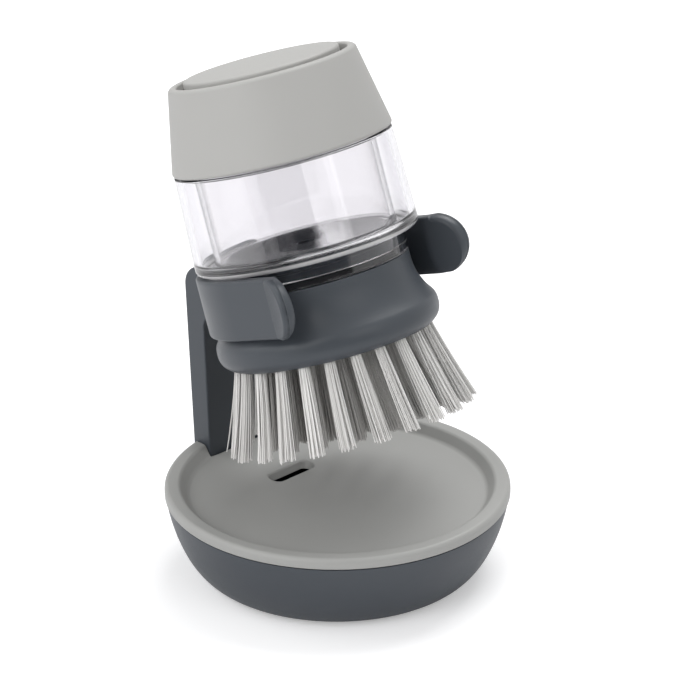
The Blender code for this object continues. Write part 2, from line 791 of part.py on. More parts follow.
def make_bristles(up, group, finish, frame):
    # The lower face of the slice is triangulated round the strands' roots, and each strand is
    # drawn out of it, because no primitive or modifier makes strands of one body with a plate.
    low = up["underside"]
    high = low + slice_thickness
    tip_height = low - bristle_length
    strands = list(strand_feet())
    outer = ring_points(tuft_seat_radius - seat_gap, turn_steps)
    inner = ring_points(tuft_plate_bore, turn_steps)
    points = outer + inner
    edges = []
    for start in (0, turn_steps):
        for step in range(turn_steps):
            edges.append((start + step, start + (step + 1) % turn_steps))
    faces = []
    for root, tip in strands:
        first = len(points)
        points += root
        faces.append([first, first + 1, first + 2])
    flat = delaunay_2d_cdt(points, edges, faces, 0, point_tolerance)
    flat_points, flat_faces, came_from, origins = flat[0], flat[2], flat[3], flat[5]
    shape = bmesh.new()
    lower = [shape.verts.new((*point, low)) for point in flat_points]
    for face, origin in zip(flat_faces, origins):
        middle = sum((flat_points[index] for index in face), Vector((0, 0))) / len(face)
        if origin:
            tip = strands[origin[0]][1]
            root = strands[origin[0]][0]
            ends = []
            for index in face:
                near = min(range(3), key=lambda corner: (root[corner] - flat_points[index]).length)
                ends.append(shape.verts.new((*tip[near], tip_height)))
            shape.faces.new(ends)
            for side in range(3):
                after = (side + 1) % 3
                shape.faces.new((lower[face[side]], lower[face[after]], ends[after], ends[side]))
        elif middle.length > tuft_plate_bore:
            shape.faces.new([lower[index] for index in face])
    place_of = {}
    for index, sources in enumerate(came_from):
        for source in sources:
            place_of[source] = lower[index]
    upper_outer = [shape.verts.new((*point, high)) for point in outer]
    upper_inner = [shape.verts.new((*point, high)) for point in inner]
    for step in range(turn_steps):
        after = (step + 1) % turn_steps
        outer_now, outer_next = place_of[step], place_of[after]
        inner_now, inner_next = place_of[turn_steps + step], place_of[turn_steps + after]
        shape.faces.new((outer_now, outer_next, upper_outer[after], upper_outer[step]))
        shape.faces.new((upper_outer[step], upper_outer[after],
                         upper_inner[after], upper_inner[step]))
        shape.faces.new((upper_inner[step], upper_inner[after], inner_next, inner_now))
    loose = [vert for vert in shape.verts if not vert.link_faces]
    bmesh.ops.delete(shape, geom=loose, context="VERTS")
    bmesh.ops.recalc_face_normals(shape, faces=shape.faces)
    mesh = bpy.data.meshes.new("bristles")
    shape.to_mesh(mesh)
    shape.free()
    return place(bpy.data.objects.new("bristles", mesh), group, finish, frame)


def make_outlet_valve(up, group, finish, frame):
    high = up["plate_high"]
    rim = tuft_plate_bore - seat_gap
    low = high - valve_thickness
    nose = low - valve_nose_length
    outline = [(0, high), (rim, high), (rim, low), (valve_nose_radius, low),
               (valve_tip_radius, nose), (0, nose)]
    return turned("outlet_valve", outline, group, finish, frame, steps=small_turn_steps)


def make_retainer(up, group, finish, frame):
    high = up["plate_high"] - valve_thickness - seat_gap
    outer = tuft_plate_bore - seat_gap
    inner = outer - retainer_wall
    low = up["underside"]
    outline = [(outer, high), (outer, low), (inner, low), (inner, high)]
    return turned("valve_retainer", outline, group, finish, frame, closed=True,
                  steps=small_turn_steps)


def make_neck_seal(group, finish, frame):
    inner = spigot_radius + running_gap
    outer = neck_ring_radius - seal_wall - seat_gap
    low = seat_gap
    high = low + seal_thickness
    outline = [(outer, high), (outer, low), (inner, low), (inner, high)]
    return turned("neck_seal", outline, group, finish, frame, closed=True)


def make_reservoir(up, group, finish, frame):
    bore = spigot_radius + running_gap
    seal_seat = neck_ring_radius - seal_wall
    low = seat_gap
    seal_high = low + seal_thickness + seat_gap
    corners = [
        (shell_top_radius - shell_wall, shell_top, 0),
        (shell_top_radius, shell_top, 0),
        (shell_foot_radius, shoulder_height, shell_foot_round),
        (neck_ring_radius, shoulder_height, 0),
        (neck_ring_radius, low, 0),
        (seal_seat, low, 0),
        (seal_seat, seal_high, 0),
        (bore, seal_high, 0),
        (bore, up["shell_floor"], 0),
        (shell_foot_radius - shell_wall, up["shell_floor"], shell_inner_round),
    ]
    return turned("reservoir", rounded(corners), group, finish, frame, closed=True)


def make_chamber(up, group, finish, frame):
    inner = chamber_radius - chamber_wall
    low = up["shell_floor"] + seat_gap
    flange = shell_top_radius - shell_wall - seat_gap
    outline = [(inner, chamber_top), (chamber_radius, chamber_top),
               (chamber_radius, shell_top), (flange, shell_top),
               (flange, shell_top - chamber_flange), (chamber_radius, shell_top - chamber_flange),
               (chamber_radius, low), (inner, low)]
    return turned("soap_chamber", outline, group, finish, frame, closed=True)


def make_gasket(up, group, finish, frame):
    inner = chamber_radius - chamber_wall
    low, high = up["gasket_low"], up["gasket_low"] + gasket_thickness
    outline = [(chamber_radius, high), (chamber_radius, low), (inner, low), (inner, high)]
    return turned("lid_gasket", outline, group, finish, frame, closed=True)


def lid_radius():
    return chamber_radius + running_gap + lid_skirt_wall


def make_lid(up, group, tools, finish, frame):
    outer = lid_radius()
    inner = outer - lid_skirt_wall
    skirt_low = chamber_top - lid_skirt_drop
    outline = [(outer, up["lid_high"]), (outer, skirt_low), (inner, skirt_low),
               (inner, up["lid_low"]), (lid_bore, up["lid_low"]), (lid_bore, up["lid_high"])]
    lid = turned("lid_plate", outline, group, finish, frame, closed=True)
    hole = rod("air_hole", air_stem_radius + seat_gap, up["lid_low"] - cut_over,
               up["lid_high"] + cut_over, (air_valve_x, 0), tools, frame)
    combine(lid, hole, "DIFFERENCE")
    return lid


def make_air_valve(up, group, finish, frame):
    bead_low = up["lid_high"] + seat_gap
    bead_high = bead_low + air_valve_thickness
    disc_high = up["lid_low"] - seat_gap
    disc_low = disc_high - air_valve_thickness
    outline = [(0, bead_high), (air_bead_radius, bead_high), (air_bead_radius, bead_low),
               (air_stem_radius, bead_low), (air_stem_radius, disc_high),
               (air_valve_radius, disc_high), (air_valve_radius, disc_low), (0, disc_low)]
    valve = turned("air_valve", outline, group, finish, frame, steps=small_turn_steps)
    valve.location.x = air_valve_x
    return valve


def cap_outer_radius(up, height):
    return cap_radius - (height - up["cap_low"]) * math.tan(cap_taper)


def make_cap(up, group, finish, frame):
    low, high, lip_low = up["cap_low"], up["cap_high"], up["lip_low"]
    rib_low = up["lid_high"] + seat_gap
    rib_high = rib_low + cap_rib_height
    lid_side = lid_radius() + seat_gap
    rib_side = lid_side - cap_rib_width
    guide = button_flange_radius + running_gap
    corners = [
        (cap_opening_radius, lip_low, 0),
        (cap_opening_radius, high, cap_lip_round),
        (cap_outer_radius(up, high), high, cap_top_round),
        (cap_radius, low, cap_foot_round),
        (cap_outer_radius(up, low) - cap_wall, low, 0),
        (cap_outer_radius(up, chamber_top) - cap_wall, chamber_top - lid_skirt_drop, 0),
        (lid_side, chamber_top - gasket_thickness, 0),
        (lid_side, rib_low, 0),
        (rib_side, rib_low, 0),
        (rib_side, rib_high, 0),
        (cap_outer_radius(up, rib_high) - cap_wall, rib_high, 0),
        (guide, up["button_flange_low"], 0),
        (guide, lip_low, 0),
    ]
    return turned("cap_shell", rounded(corners), group, finish, frame, closed=True)


def make_button(up, group, finish, frame):
    edge = up["button_edge"]
    crown_radius = (button_radius ** 2 + button_crown ** 2) / (2 * button_crown)
    outline = []
    for step in range(button_crown_steps):
        across = button_radius * step / button_crown_steps
        fall = crown_radius - math.sqrt(crown_radius ** 2 - across ** 2)
        outline.append((across, edge + button_crown - fall, 0))
    inner = button_radius - button_wall
    outline += [
        (button_radius, edge, button_edge_round),
        (button_radius, up["button_flange_high"], 0),
        (button_flange_radius, up["button_flange_high"], 0),
        (button_flange_radius, up["button_flange_low"], 0),
        (inner, up["button_flange_low"], 0),
        (inner, up["button_ceiling"], 0),
        (0, up["button_ceiling"] + button_hollow_crown, 0),
    ]
    return turned("push_button", rounded(outline, closed=False), group, finish, frame)


def make_spring(up, group, finish, frame):
    low = up["lid_high"] + seat_gap + spring_wire
    high = up["button_ceiling"] - seat_gap - spring_wire
    wire = bpy.data.curves.new("button_spring", "CURVE")
    wire.dimensions = "3D"
    wire.bevel_depth = spring_wire
    wire.bevel_resolution = 1
    wire.use_fill_caps = True
    run = wire.splines.new("POLY")
    count = spring_turns * spring_points
    run.points.add(count)
    for step in range(count + 1):
        angle = 2 * math.pi * step / spring_points
        height = low + (high - low) * step / count
        run.points[step].co = (spring_radius * math.cos(angle), spring_radius * math.sin(angle),
                               height, 1)
    return place(bpy.data.objects.new("button_spring", wire), group, finish, frame)


def make_bulb(up, group, finish, frame):
    low = up["lid_high"] + seat_gap
    high = up["button_ceiling"] - seat_gap
    corners = [
        (0, high, 0),
        (bulb_top_radius, high, bulb_wall),
        (bulb_radius, low + bulb_foot, bulb_wall),
        (bulb_radius + bulb_foot, low + bulb_wall, 0),
        (bulb_radius + bulb_foot, low, 0),
        (bulb_radius - bulb_wall, low, 0),
        (bulb_top_radius - bulb_wall, high - bulb_wall, 0),
        (0, high - bulb_wall, 0),
    ]
    return turned("pump_bulb", rounded(corners, closed=False), group, finish, frame,
                  steps=small_turn_steps)


def build():
    clear_scene()
    group = make_collection("palm_dish_brush")
    tools = make_collection("cutters")
    slate = make_finish("slate_plastic", (0.072, 0.083, 0.098), 0.45)
    warm_grey = make_finish("warm_grey_plastic", (0.440, 0.440, 0.415), 0.55)
    mid_grey = make_finish("mid_grey_plastic", (0.275, 0.275, 0.262), 0.50)
    clear = make_finish("clear_plastic", (0.930, 0.920, 0.960), 0.05, 0.95)
    nylon = make_finish("grey_nylon", (0.620, 0.615, 0.590), 0.50)
    silicone = make_finish("grey_silicone", (0.300, 0.300, 0.300), 0.60)
    black_rubber = make_finish("black_rubber", (0.020, 0.020, 0.022), 0.80)
    steel = make_finish("spring_steel", (0.560, 0.570, 0.580), 0.25)
    steel.node_tree.nodes["Principled BSDF"].inputs["Metallic"].default_value = 1.0

    up = stack_heights()
    frame = bpy.data.objects.new("brush_frame", None)
    frame.location = (neck_x, 0, neck_z(up))
    frame.rotation_euler = (0, -lean, 0)
    group.objects.link(frame)
    bpy.context.view_layer.update()

    make_base_pad(group, black_rubber)
    make_bowl(group, tools, slate)
    make_screws(group, steel)
    make_tray(group, tools, mid_grey)
    cradle = make_cradle(up, tools, frame)
    make_post(up, cradle, group, tools, slate, frame)
    make_head(up, group, slate, frame)
    make_tuft_plate(up, group, slate, frame)
    make_bristles(up, group, nylon, frame)
    make_outlet_valve(up, group, silicone, frame)
    make_retainer(up, group, slate, frame)
    make_neck_seal(group, black_rubber, frame)
    make_reservoir(up, group, clear, frame)
    make_chamber(up, group, clear, frame)
    make_gasket(up, group, black_rubber, frame)
    make_lid(up, group, tools, mid_grey, frame)
    make_air_valve(up, group, silicone, frame)
    make_cap(up, group, warm_grey, frame)
    make_button(up, group, warm_grey, frame)
    make_spring(up, group, steel, frame)
    make_bulb(up, group, silicone, frame)
    for thing in group.objects:
        smooth(thing)


build()
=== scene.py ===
import json
import math
import random

import bmesh
import bpy
from mathutils import Matrix, Vector


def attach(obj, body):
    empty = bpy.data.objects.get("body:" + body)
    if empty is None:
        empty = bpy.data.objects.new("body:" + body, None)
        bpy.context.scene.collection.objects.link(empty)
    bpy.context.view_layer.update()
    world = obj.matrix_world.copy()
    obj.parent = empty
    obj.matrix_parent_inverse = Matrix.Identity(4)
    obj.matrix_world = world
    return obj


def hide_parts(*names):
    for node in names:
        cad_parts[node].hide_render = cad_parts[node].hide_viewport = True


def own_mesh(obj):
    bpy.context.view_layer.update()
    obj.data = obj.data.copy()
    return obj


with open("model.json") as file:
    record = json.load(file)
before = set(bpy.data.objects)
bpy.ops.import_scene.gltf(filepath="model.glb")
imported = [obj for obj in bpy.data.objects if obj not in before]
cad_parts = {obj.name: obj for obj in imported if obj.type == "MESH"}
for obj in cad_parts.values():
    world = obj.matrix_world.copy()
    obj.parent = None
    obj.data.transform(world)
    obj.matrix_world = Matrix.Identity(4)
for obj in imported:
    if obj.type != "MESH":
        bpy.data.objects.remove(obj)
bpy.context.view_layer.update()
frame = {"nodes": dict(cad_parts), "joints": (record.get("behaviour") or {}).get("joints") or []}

# the brush's own axis, from the joint that unscrews the reservoir
twistJoint = next(joint for joint in frame["joints"] if joint["name"] == "reservoir_twist")
neckPlace = Vector(twistJoint["pos_m"])
brushAxis = Vector(twistJoint["axis"]).normalized()
lean = math.atan2(-brushAxis.x, brushAxis.z)
brushPlace = Matrix.Translation(neckPlace) @ Matrix.Rotation(-lean, 4, "Y")

fineSides = 160           # round the big pieces
plateSides = 96           # round the plates inside
smallSides = 48           # round bosses and bores
gap = 0.0003              # left between pieces that don't touch
fineRound = 0.0002        # the rounds on moulded edges
smallRound = 0.0003
softRound = 0.0004
past = 0.002              # how far a cutter reaches past what it cuts
outside = 0.050           # a distance that is clear of the widest piece


# helpers for meshes

def letGo():
    if bpy.context.object and bpy.context.object.mode != "OBJECT":
        bpy.ops.object.mode_set(mode="OBJECT")
    bpy.ops.object.select_all(action="DESELECT")


def pick(piece):
    letGo()
    piece.select_set(True)
    bpy.context.view_layer.objects.active = piece


def applyPlace():
    bpy.ops.object.transform_apply(location=True, rotation=True, scale=True)


def selectAll():
    bpy.ops.mesh.select_all(action="SELECT")


def startEdit():
    bpy.ops.object.mode_set(mode="EDIT")
    selectAll()


def extrudeBy(x, y, z):
    bpy.ops.mesh.extrude_region_move(TRANSFORM_OT_translate={"value": (x, y, z)})


def faceOutwards(merge=0):
    # merges vertices nearer than merge, turns all faces outwards and leaves edit mode
    startEdit()
    if merge:
        bpy.ops.mesh.remove_doubles(threshold=merge)
    bpy.ops.mesh.normals_make_consistent(inside=False)
    bpy.ops.object.mode_set(mode="OBJECT")


def joinAll(pieces):
    letGo()
    for piece in pieces:
        piece.select_set(True)
    bpy.context.view_layer.objects.active = pieces[0]
    bpy.ops.object.join()
    return bpy.context.object


def quarterTurn(steps):
    return [math.pi / 2 * number / steps for number in range(steps + 1)]


def roundCorners(corners, closed, step=math.radians(14)):
    # corners are (across, up, radius), each turned with an arc of its radius
    outline = []
    for index, (across, up, radius) in enumerate(corners):
        here = Vector((across, up))
        if radius == 0 or (not closed and index in (0, len(corners) - 1)):
            outline.append((across, up))
            continue
        before = Vector(corners[index - 1][:2]) - here
        after = Vector(corners[(index + 1) % len(corners)][:2]) - here
        half = before.angle(after) / 2
        reach = min(radius / math.tan(half), before.length * 0.49, after.length * 0.49)
        radius = reach * math.tan(half)
        start = here + before.normalized() * reach
        toCentre = (before.normalized() + after.normalized()).normalized()
        centre = here + toCentre * (radius / math.sin(half))
        arm = start - centre
        turn = math.pi - 2 * half
        if before.x * after.y - before.y * after.x > 0:
            turn = -turn
        count = max(2, math.ceil(abs(turn) / step))
        for number in range(count + 1):
            angle = turn * number / count
            outline.append((centre.x + arm.x * math.cos(angle) - arm.y * math.sin(angle),
                            centre.y + arm.x * math.sin(angle) + arm.y * math.cos(angle)))
    return outline


def drawOutline(name, outline, closed=False):
    # one vertex, extruded from point to point in the XZ plane
    letGo()
    bpy.ops.mesh.primitive_plane_add(size=0.001, location=(0, 0, 0))
    piece = bpy.context.object
    piece.name = name
    startEdit()
    bpy.ops.mesh.merge(type="CENTER")
    across, up = outline[0]
    bpy.ops.transform.translate(value=(across, 0, up))
    for nextAcross, nextUp in outline[1:]:
        move = {"value": (nextAcross - across, 0, nextUp - up)}
        bpy.ops.mesh.extrude_vertices_move(TRANSFORM_OT_translate=move)
        across, up = nextAcross, nextUp
    if closed:
        ends = [Vector((x, 0, z)) for x, z in (outline[0], outline[-1])]
        selectVerts(piece, lambda place: min((place - end).length for end in ends) < 1e-6)
        bpy.ops.mesh.edge_face_add()
    selectAll()
    return piece


def selectVerts(piece, test):
    bpy.ops.mesh.select_all(action="DESELECT")
    bpy.ops.mesh.select_mode(type="VERT")
    shape = bmesh.from_edit_mesh(piece.data)
    for vert in shape.verts:
        if test(vert.co):
            vert.select_set(True)
    shape.select_flush(True)
    bmesh.update_edit_mesh(piece.data)


def turnPiece(name, corners, closed=False, sides=fineSides, step=math.radians(14)):
    # an outline spun right round the Z axis
    piece = drawOutline(name, roundCorners(corners, closed, step), closed)
    bpy.ops.mesh.spin(steps=sides, angle=2 * math.pi, center=(0, 0, 0), axis=(0, 0, 1),
                      use_auto_merge=True)
    faceOutwards(merge=0.000002)
    return piece


def applyAll(piece):
    pick(piece)
    for modifier in list(piece.modifiers):
        bpy.ops.object.modifier_apply(modifier=modifier.name)


def cutWith(piece, cutter, operation="DIFFERENCE"):
    step = piece.modifiers.new(cutter.name, "BOOLEAN")
    step.operation = operation
    step.solver = "EXACT"
    step.object = cutter
    applyAll(piece)
    bpy.data.objects.remove(cutter, do_unlink=True)


def rod(name, radius, low, high, x, y, sides=smallSides):
    letGo()
    bpy.ops.mesh.primitive_cylinder_add(vertices=sides, radius=radius, depth=high - low,
                                        location=(x, y, (low + high) / 2))
    bpy.context.object.name = name
    return bpy.context.object


def brick(name, low, high):
    letGo()
    middle = (Vector(low) + Vector(high)) / 2
    bpy.ops.mesh.primitive_cube_add(size=1, location=middle)
    piece = bpy.context.object
    piece.name = name
    piece.scale = Vector(high) - Vector(low)
    applyPlace()
    return piece


def settle(piece, material, body, node, onBrush=False, sharp=math.radians(32)):
    # puts a finished piece in its place, with its object at the origin
    pick(piece)
    if onBrush:
        piece.matrix_world = brushPlace @ piece.matrix_world
    applyPlace()
    bpy.ops.object.shade_smooth_by_angle(angle=sharp)
    even = piece.modifiers.new("even shading", "WEIGHTED_NORMAL")
    even.keep_sharp = True
    bpy.ops.object.modifier_apply(modifier=even.name)
    piece.data.materials.clear()
    piece.data.materials.append(material)
    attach(piece, body)
    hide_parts(node)


# helpers for materials

def port(ports, name):
    # a socket by its number or name, or on a Mix node by its identifier
    if isinstance(name, str) and "_" in name:
        return next(one for one in ports if one.identifier == name)
    return ports[name]


def wire(tree, node, inputs):
    # an input takes another node's output as a link, and anything else as its constant value
    for name, source in inputs.items():
        if isinstance(source, bpy.types.NodeSocket):
            tree.links.new(source, port(node.inputs, name))
        else:
            port(node.inputs, name).default_value = source


def addNode(tree, kind, inputs=None, **settings):
    node = tree.nodes.new("ShaderNode" + kind)
    for name, setting in settings.items():
        setattr(node, name, setting)
    wire(tree, node, inputs or {})
    return node


def addMath(tree, operation, *parts, **settings):
    node = addNode(tree, "Math", dict(enumerate(parts)), operation=operation, **settings)
    return node.outputs[0]


def objectPlace(tree):
    return addNode(tree, "TexCoord").outputs["Object"]


def addNoise(tree, place, scale, detail=2):
    noise = addNode(tree, "TexNoise", {"Vector": place, "Scale": scale, "Detail": detail})
    return noise.outputs["Fac"]


def addRange(tree, source, low, high):
    # spreads a mask from 0 to 1 over another range
    spread = addNode(tree, "MapRange", {"Value": source, "To Min": low, "To Max": high})
    return spread.outputs["Result"]


def addRamp(tree, source, colours):
    ramp = addNode(tree, "ValToRGB", {"Fac": source})
    for element, colour in zip(ramp.color_ramp.elements, colours):
        element.color = (*colour, 1)
    return ramp.outputs["Color"]


def addAttribute(tree, name):
    return addNode(tree, "Attribute", attribute_name=name).outputs["Fac"]


def startMaterial(name):
    material = bpy.data.materials.new(name)
    material.use_nodes = True
    return material, material.node_tree, material.node_tree.nodes["Principled BSDF"]


# shader group: the fine texture of a spark-eroded mould

mould = {"driftScale": 60, "driftDetail": 4, "bumpDepth": 0.00005}


def buildMouldGrain():
    group = bpy.data.node_groups.new("mouldGrain", "ShaderNodeTree")
    for name, kind, default in (("Colour", "Color", (0.5, 0.5, 0.5, 1)), ("Mottle", "Float", 0.04),
                                ("Grain Size", "Float", 0.0003), ("Grain Depth", "Float", 0.2),
                                ("Roughness", "Float", 0.5), ("Roughness Spread", "Float", 0.08)):
        inlet = group.interface.new_socket(name=name, in_out="INPUT",
                                           socket_type="NodeSocket" + kind)
        inlet.default_value = default
    for name, kind in (("Colour", "Color"), ("Roughness", "Float"), ("Normal", "Vector")):
        group.interface.new_socket(name=name, in_out="OUTPUT", socket_type="NodeSocket" + kind)
    given = group.nodes.new("NodeGroupInput").outputs
    place = objectPlace(group)

    # cells of about the grain's size
    grain = addNoise(group, place, addMath(group, "DIVIDE", 1, given["Grain Size"]))
    bump = addNode(group, "Bump", {"Height": grain, "Strength": given["Grain Depth"],
                                   "Distance": mould["bumpDepth"]})

    # slow drift of colour and gloss over the moulding
    drift = addNoise(group, place, mould["driftScale"], mould["driftDetail"])
    centred = addMath(group, "SUBTRACT", drift, 0.5)
    tone = addMath(group, "MULTIPLY_ADD", centred, given["Mottle"], 1)
    shade = addNode(group, "VectorMath", {0: given["Colour"], "Scale": tone}, operation="SCALE")
    both = addMath(group, "ADD", centred, addMath(group, "SUBTRACT", grain, 0.5))
    gloss = addMath(group, "MULTIPLY_ADD", both, given["Roughness Spread"], given["Roughness"],
                    use_clamp=True)
    wire(group, group.nodes.new("NodeGroupOutput"),
         {"Colour": shade.outputs["Vector"], "Roughness": gloss,
          "Normal": bump.outputs["Normal"]})
    return group


mouldGrain = buildMouldGrain()


# materials

plasticIndex = 1.46
polishedRoughness = 0.10
warmGreyFinish = {"colour": (0.412, 0.409, 0.396), "mottle": 0.05, "grainSize": 0.00022,
                  "grainDepth": 0.22, "roughness": 0.55, "roughnessSpread": 0.25, "specular": 0.45}
midGreyFinish = {"colour": (0.352, 0.353, 0.342), "mottle": 0.06, "grainSize": 0.00020,
                 "grainDepth": 0.14, "roughness": 0.46, "roughnessSpread": 0.22, "specular": 0.5}
slateFinish = {"colour": (0.053, 0.061, 0.072), "mottle": 0.10, "grainSize": 0.00020,
               "grainDepth": 0.20, "roughness": 0.40, "roughnessSpread": 0.26, "specular": 0.5}
siliconeFinish = {"colour": (0.300, 0.300, 0.300), "mottle": 0.04, "grainSize": 0.00010,
                  "grainDepth": 0.05, "roughness": 0.60, "roughnessSpread": 0.10, "specular": 0.4}
rubberFinish = {"colour": (0.022, 0.022, 0.024), "mottle": 0.12, "grainSize": 0.00035,
                "grainDepth": 0.35, "roughness": 0.80, "roughnessSpread": 0.20, "specular": 0.35}
# clear plastic: a slow drift of a faint lavender tint and fine scuffs. Where a wall is seen edge on
# its colour takes a painted shade, from the share limbFrom of facing away and fully after limbRun
# more
clearFinish = {"index": 1.50, "driftScale": 40, "limbRun": 0.2, "scuffScale": 900, "scuff": 0.03,
               "tints": ((0.970, 0.963, 0.976), (0.982, 0.977, 0.986))}
shellFinish = {"limbPaintedShade": (0.84, 0.83, 0.87), "limbFrom": 0.45, "clearness": 1}
# the foot's lower band is less clear, a milky white that paints a highlight along the foot
footFinish = {"limbPaintedShade": (0.97, 0.965, 0.985), "limbFrom": 0.7, "clearness": 0.62}
# the soap chamber's limb colour is near black, a painted shade along its edges
tubeFinish = {"limbPaintedShade": (0.04, 0.04, 0.06), "limbFrom": 0.66, "clearness": 1}
# the nylon ramp's dark end shows the painted shade of the inner tuft rings
nylonFinish = {"shades": ((0.20, 0.190, 0.175), (0.84, 0.830, 0.815)), "drawScale": 700,
               "roughness": (0.34, 0.56), "softness": 0.15, "softDepth": 0.0004}
steelFinish = {"colour": (0.56, 0.57, 0.58), "markScale": 2500, "roughness": (0.18, 0.42),
               "markStrength": 0.1, "markDepth": 0.00003}


def moulded(name, finish):
    material, tree, shader = startMaterial(name)
    grain = addNode(tree, "Group", node_tree=mouldGrain)
    wire(tree, grain, {"Colour": (*finish["colour"], 1), "Mottle": finish["mottle"],
                       "Grain Size": finish["grainSize"], "Grain Depth": finish["grainDepth"],
                       "Roughness": finish["roughness"],
                       "Roughness Spread": finish["roughnessSpread"]})
    wire(tree, shader, {"Base Color": grain.outputs["Colour"],
                        "Roughness": grain.outputs["Roughness"],
                        "Normal": grain.outputs["Normal"],
                        "Specular IOR Level": finish["specular"], "IOR": plasticIndex})
    return material


def polishedDeck(material):
    # smooths the finish where the mesh's own attribute says so
    tree = material.node_tree
    rough = tree.nodes["Principled BSDF"].inputs["Roughness"]
    blend = addNode(tree, "Mix", {"Factor_Float": addAttribute(tree, "polish"),
                                  "A_Float": rough.links[0].from_socket,
                                  "B_Float": polishedRoughness})
    tree.links.new(port(blend.outputs, "Result_Float"), rough)
    return material


def makeClear(name, finish):
    material, tree, shader = startMaterial(name)
    place = objectPlace(tree)
    tint = addRamp(tree, addNoise(tree, place, clearFinish["driftScale"]), clearFinish["tints"])
    edgeOn = addNode(tree, "MapRange", {"Value": addNode(tree, "LayerWeight").outputs["Facing"],
                                        "From Min": finish["limbFrom"],
                                        "From Max": finish["limbFrom"] + clearFinish["limbRun"]})
    # painted shade: where the wall is seen edge on, its colour turns to the finish's limb colour
    limb = addNode(tree, "Mix", data_type="RGBA")
    wire(tree, limb, {"Factor_Float": edgeOn.outputs["Result"], "A_Color": tint,
                      "B_Color": (*finish["limbPaintedShade"], 1)})
    scuff = addRange(tree, addNoise(tree, place, clearFinish["scuffScale"]), 0,
                     clearFinish["scuff"])
    wire(tree, shader, {"Base Color": port(limb.outputs, "Result_Color"),
                        "Roughness": addMath(tree, "ADD", scuff, addAttribute(tree, "frost")),
                        "Transmission Weight": finish["clearness"], "IOR": clearFinish["index"]})
    return material


def makeNylon():
    material, tree, shader = startMaterial("greyNylon")
    # the strand's random tone with its ring's painted shade
    strandToneAndPaintedShade = addAttribute(tree, "strandToneAndPaintedShade")
    draw = addNoise(tree, objectPlace(tree), nylonFinish["drawScale"])
    wire(tree, shader, {"Base Color": addRamp(tree, strandToneAndPaintedShade, nylonFinish["shades"]),
                        "Roughness": addRange(tree, draw, *nylonFinish["roughness"]),
                        "Subsurface Weight": nylonFinish["softness"],
                        "Subsurface Radius": (1, 1, 1),
                        "Subsurface Scale": nylonFinish["softDepth"]})
    return material


def makeSteel():
    material, tree, shader = startMaterial("drawnSteel")
    marks = addNoise(tree, objectPlace(tree), steelFinish["markScale"])
    bump = addNode(tree, "Bump", {"Height": marks, "Strength": steelFinish["markStrength"],
                                  "Distance": steelFinish["markDepth"]})
    wire(tree, shader, {"Base Color": (*steelFinish["colour"], 1), "Metallic": 1,
                        "Roughness": addRange(tree, marks, *steelFinish["roughness"]),
                        "Normal": bump.outputs["Normal"]})
    return material


warmGrey = moulded("warmGreyPlastic", warmGreyFinish)
midGrey = moulded("midGreyPlastic", midGreyFinish)
slate = moulded("slatePlastic", slateFinish)
slateHead = polishedDeck(moulded("slateHeadPlastic", slateFinish))
silicone = moulded("greySilicone", siliconeFinish)
blackRubber = moulded("blackRubber", rubberFinish)
clearShell = makeClear("clearShell", shellFinish)
clearFoot = makeClear("clearFoot", footFinish)
clearTube = makeClear("clearTube", tubeFinish)
nylon = makeNylon()
steel = makeSteel()
print("materials done")


# base pad: a rubber disc with grip rings under it

pad = {"radius": 0.0292, "thickness": 0.0016, "edge": 0.0003, "grooveDepth": 0.0003,
       "grooveWidth": 0.0006, "groovePitch": 0.0036, "grooves": 6}


def makePad():
    corners = [(0, pad["thickness"], 0), (pad["radius"], pad["thickness"], pad["edge"]),
               (pad["radius"], 0, pad["edge"])]
    radius = pad["radius"] - pad["groovePitch"]
    for number in range(pad["grooves"]):
        half = pad["grooveWidth"] / 2
        corners += [(radius + half, 0, 0), (radius + half / 2, pad["grooveDepth"], 0),
                    (radius - half / 2, pad["grooveDepth"], 0), (radius - half, 0, 0)]
        radius -= pad["groovePitch"]
    corners.append((0, 0, 0))
    piece = turnPiece("basePad", corners, step=math.radians(30))
    settle(piece, blackRubber, "stand", "base_pad")


# bowl

bowl = {"height": 0.0210, "rim": 0.0446, "foot": 0.0318, "wall": 0.0026, "floor": 0.0041,
        "underside": 0.0005, "padSeat": 0.0019, "reachPower": 2.20, "dropPower": 1.27,
        "points": 26, "rimRound": 0.0005, "bossRadius": 0.0044, "bossTop": 0.0065,
        "bossSink": 0.001, "boreRadius": 0.0016, "sinkRadius": 0.0031, "sinkTop": 0.0041,
        "screwX": -0.0246, "screwSpread": 0.0056, "slotHalf": 0.0098, "slotFront": -0.0380,
        "slotLow": 0.0137}


def bowlSide(number):
    # point on the bowl's outer side, 0 at the rim and 1 at the foot
    angle = math.pi / 2 * number
    reach = math.cos(angle) ** (2 / bowl["reachPower"]) if number < 1 else 0
    drop = math.sin(angle) ** (2 / bowl["dropPower"])
    return (bowl["foot"] + (bowl["rim"] - bowl["foot"]) * reach,
            bowl["height"] - (bowl["height"] - bowl["underside"]) * drop)


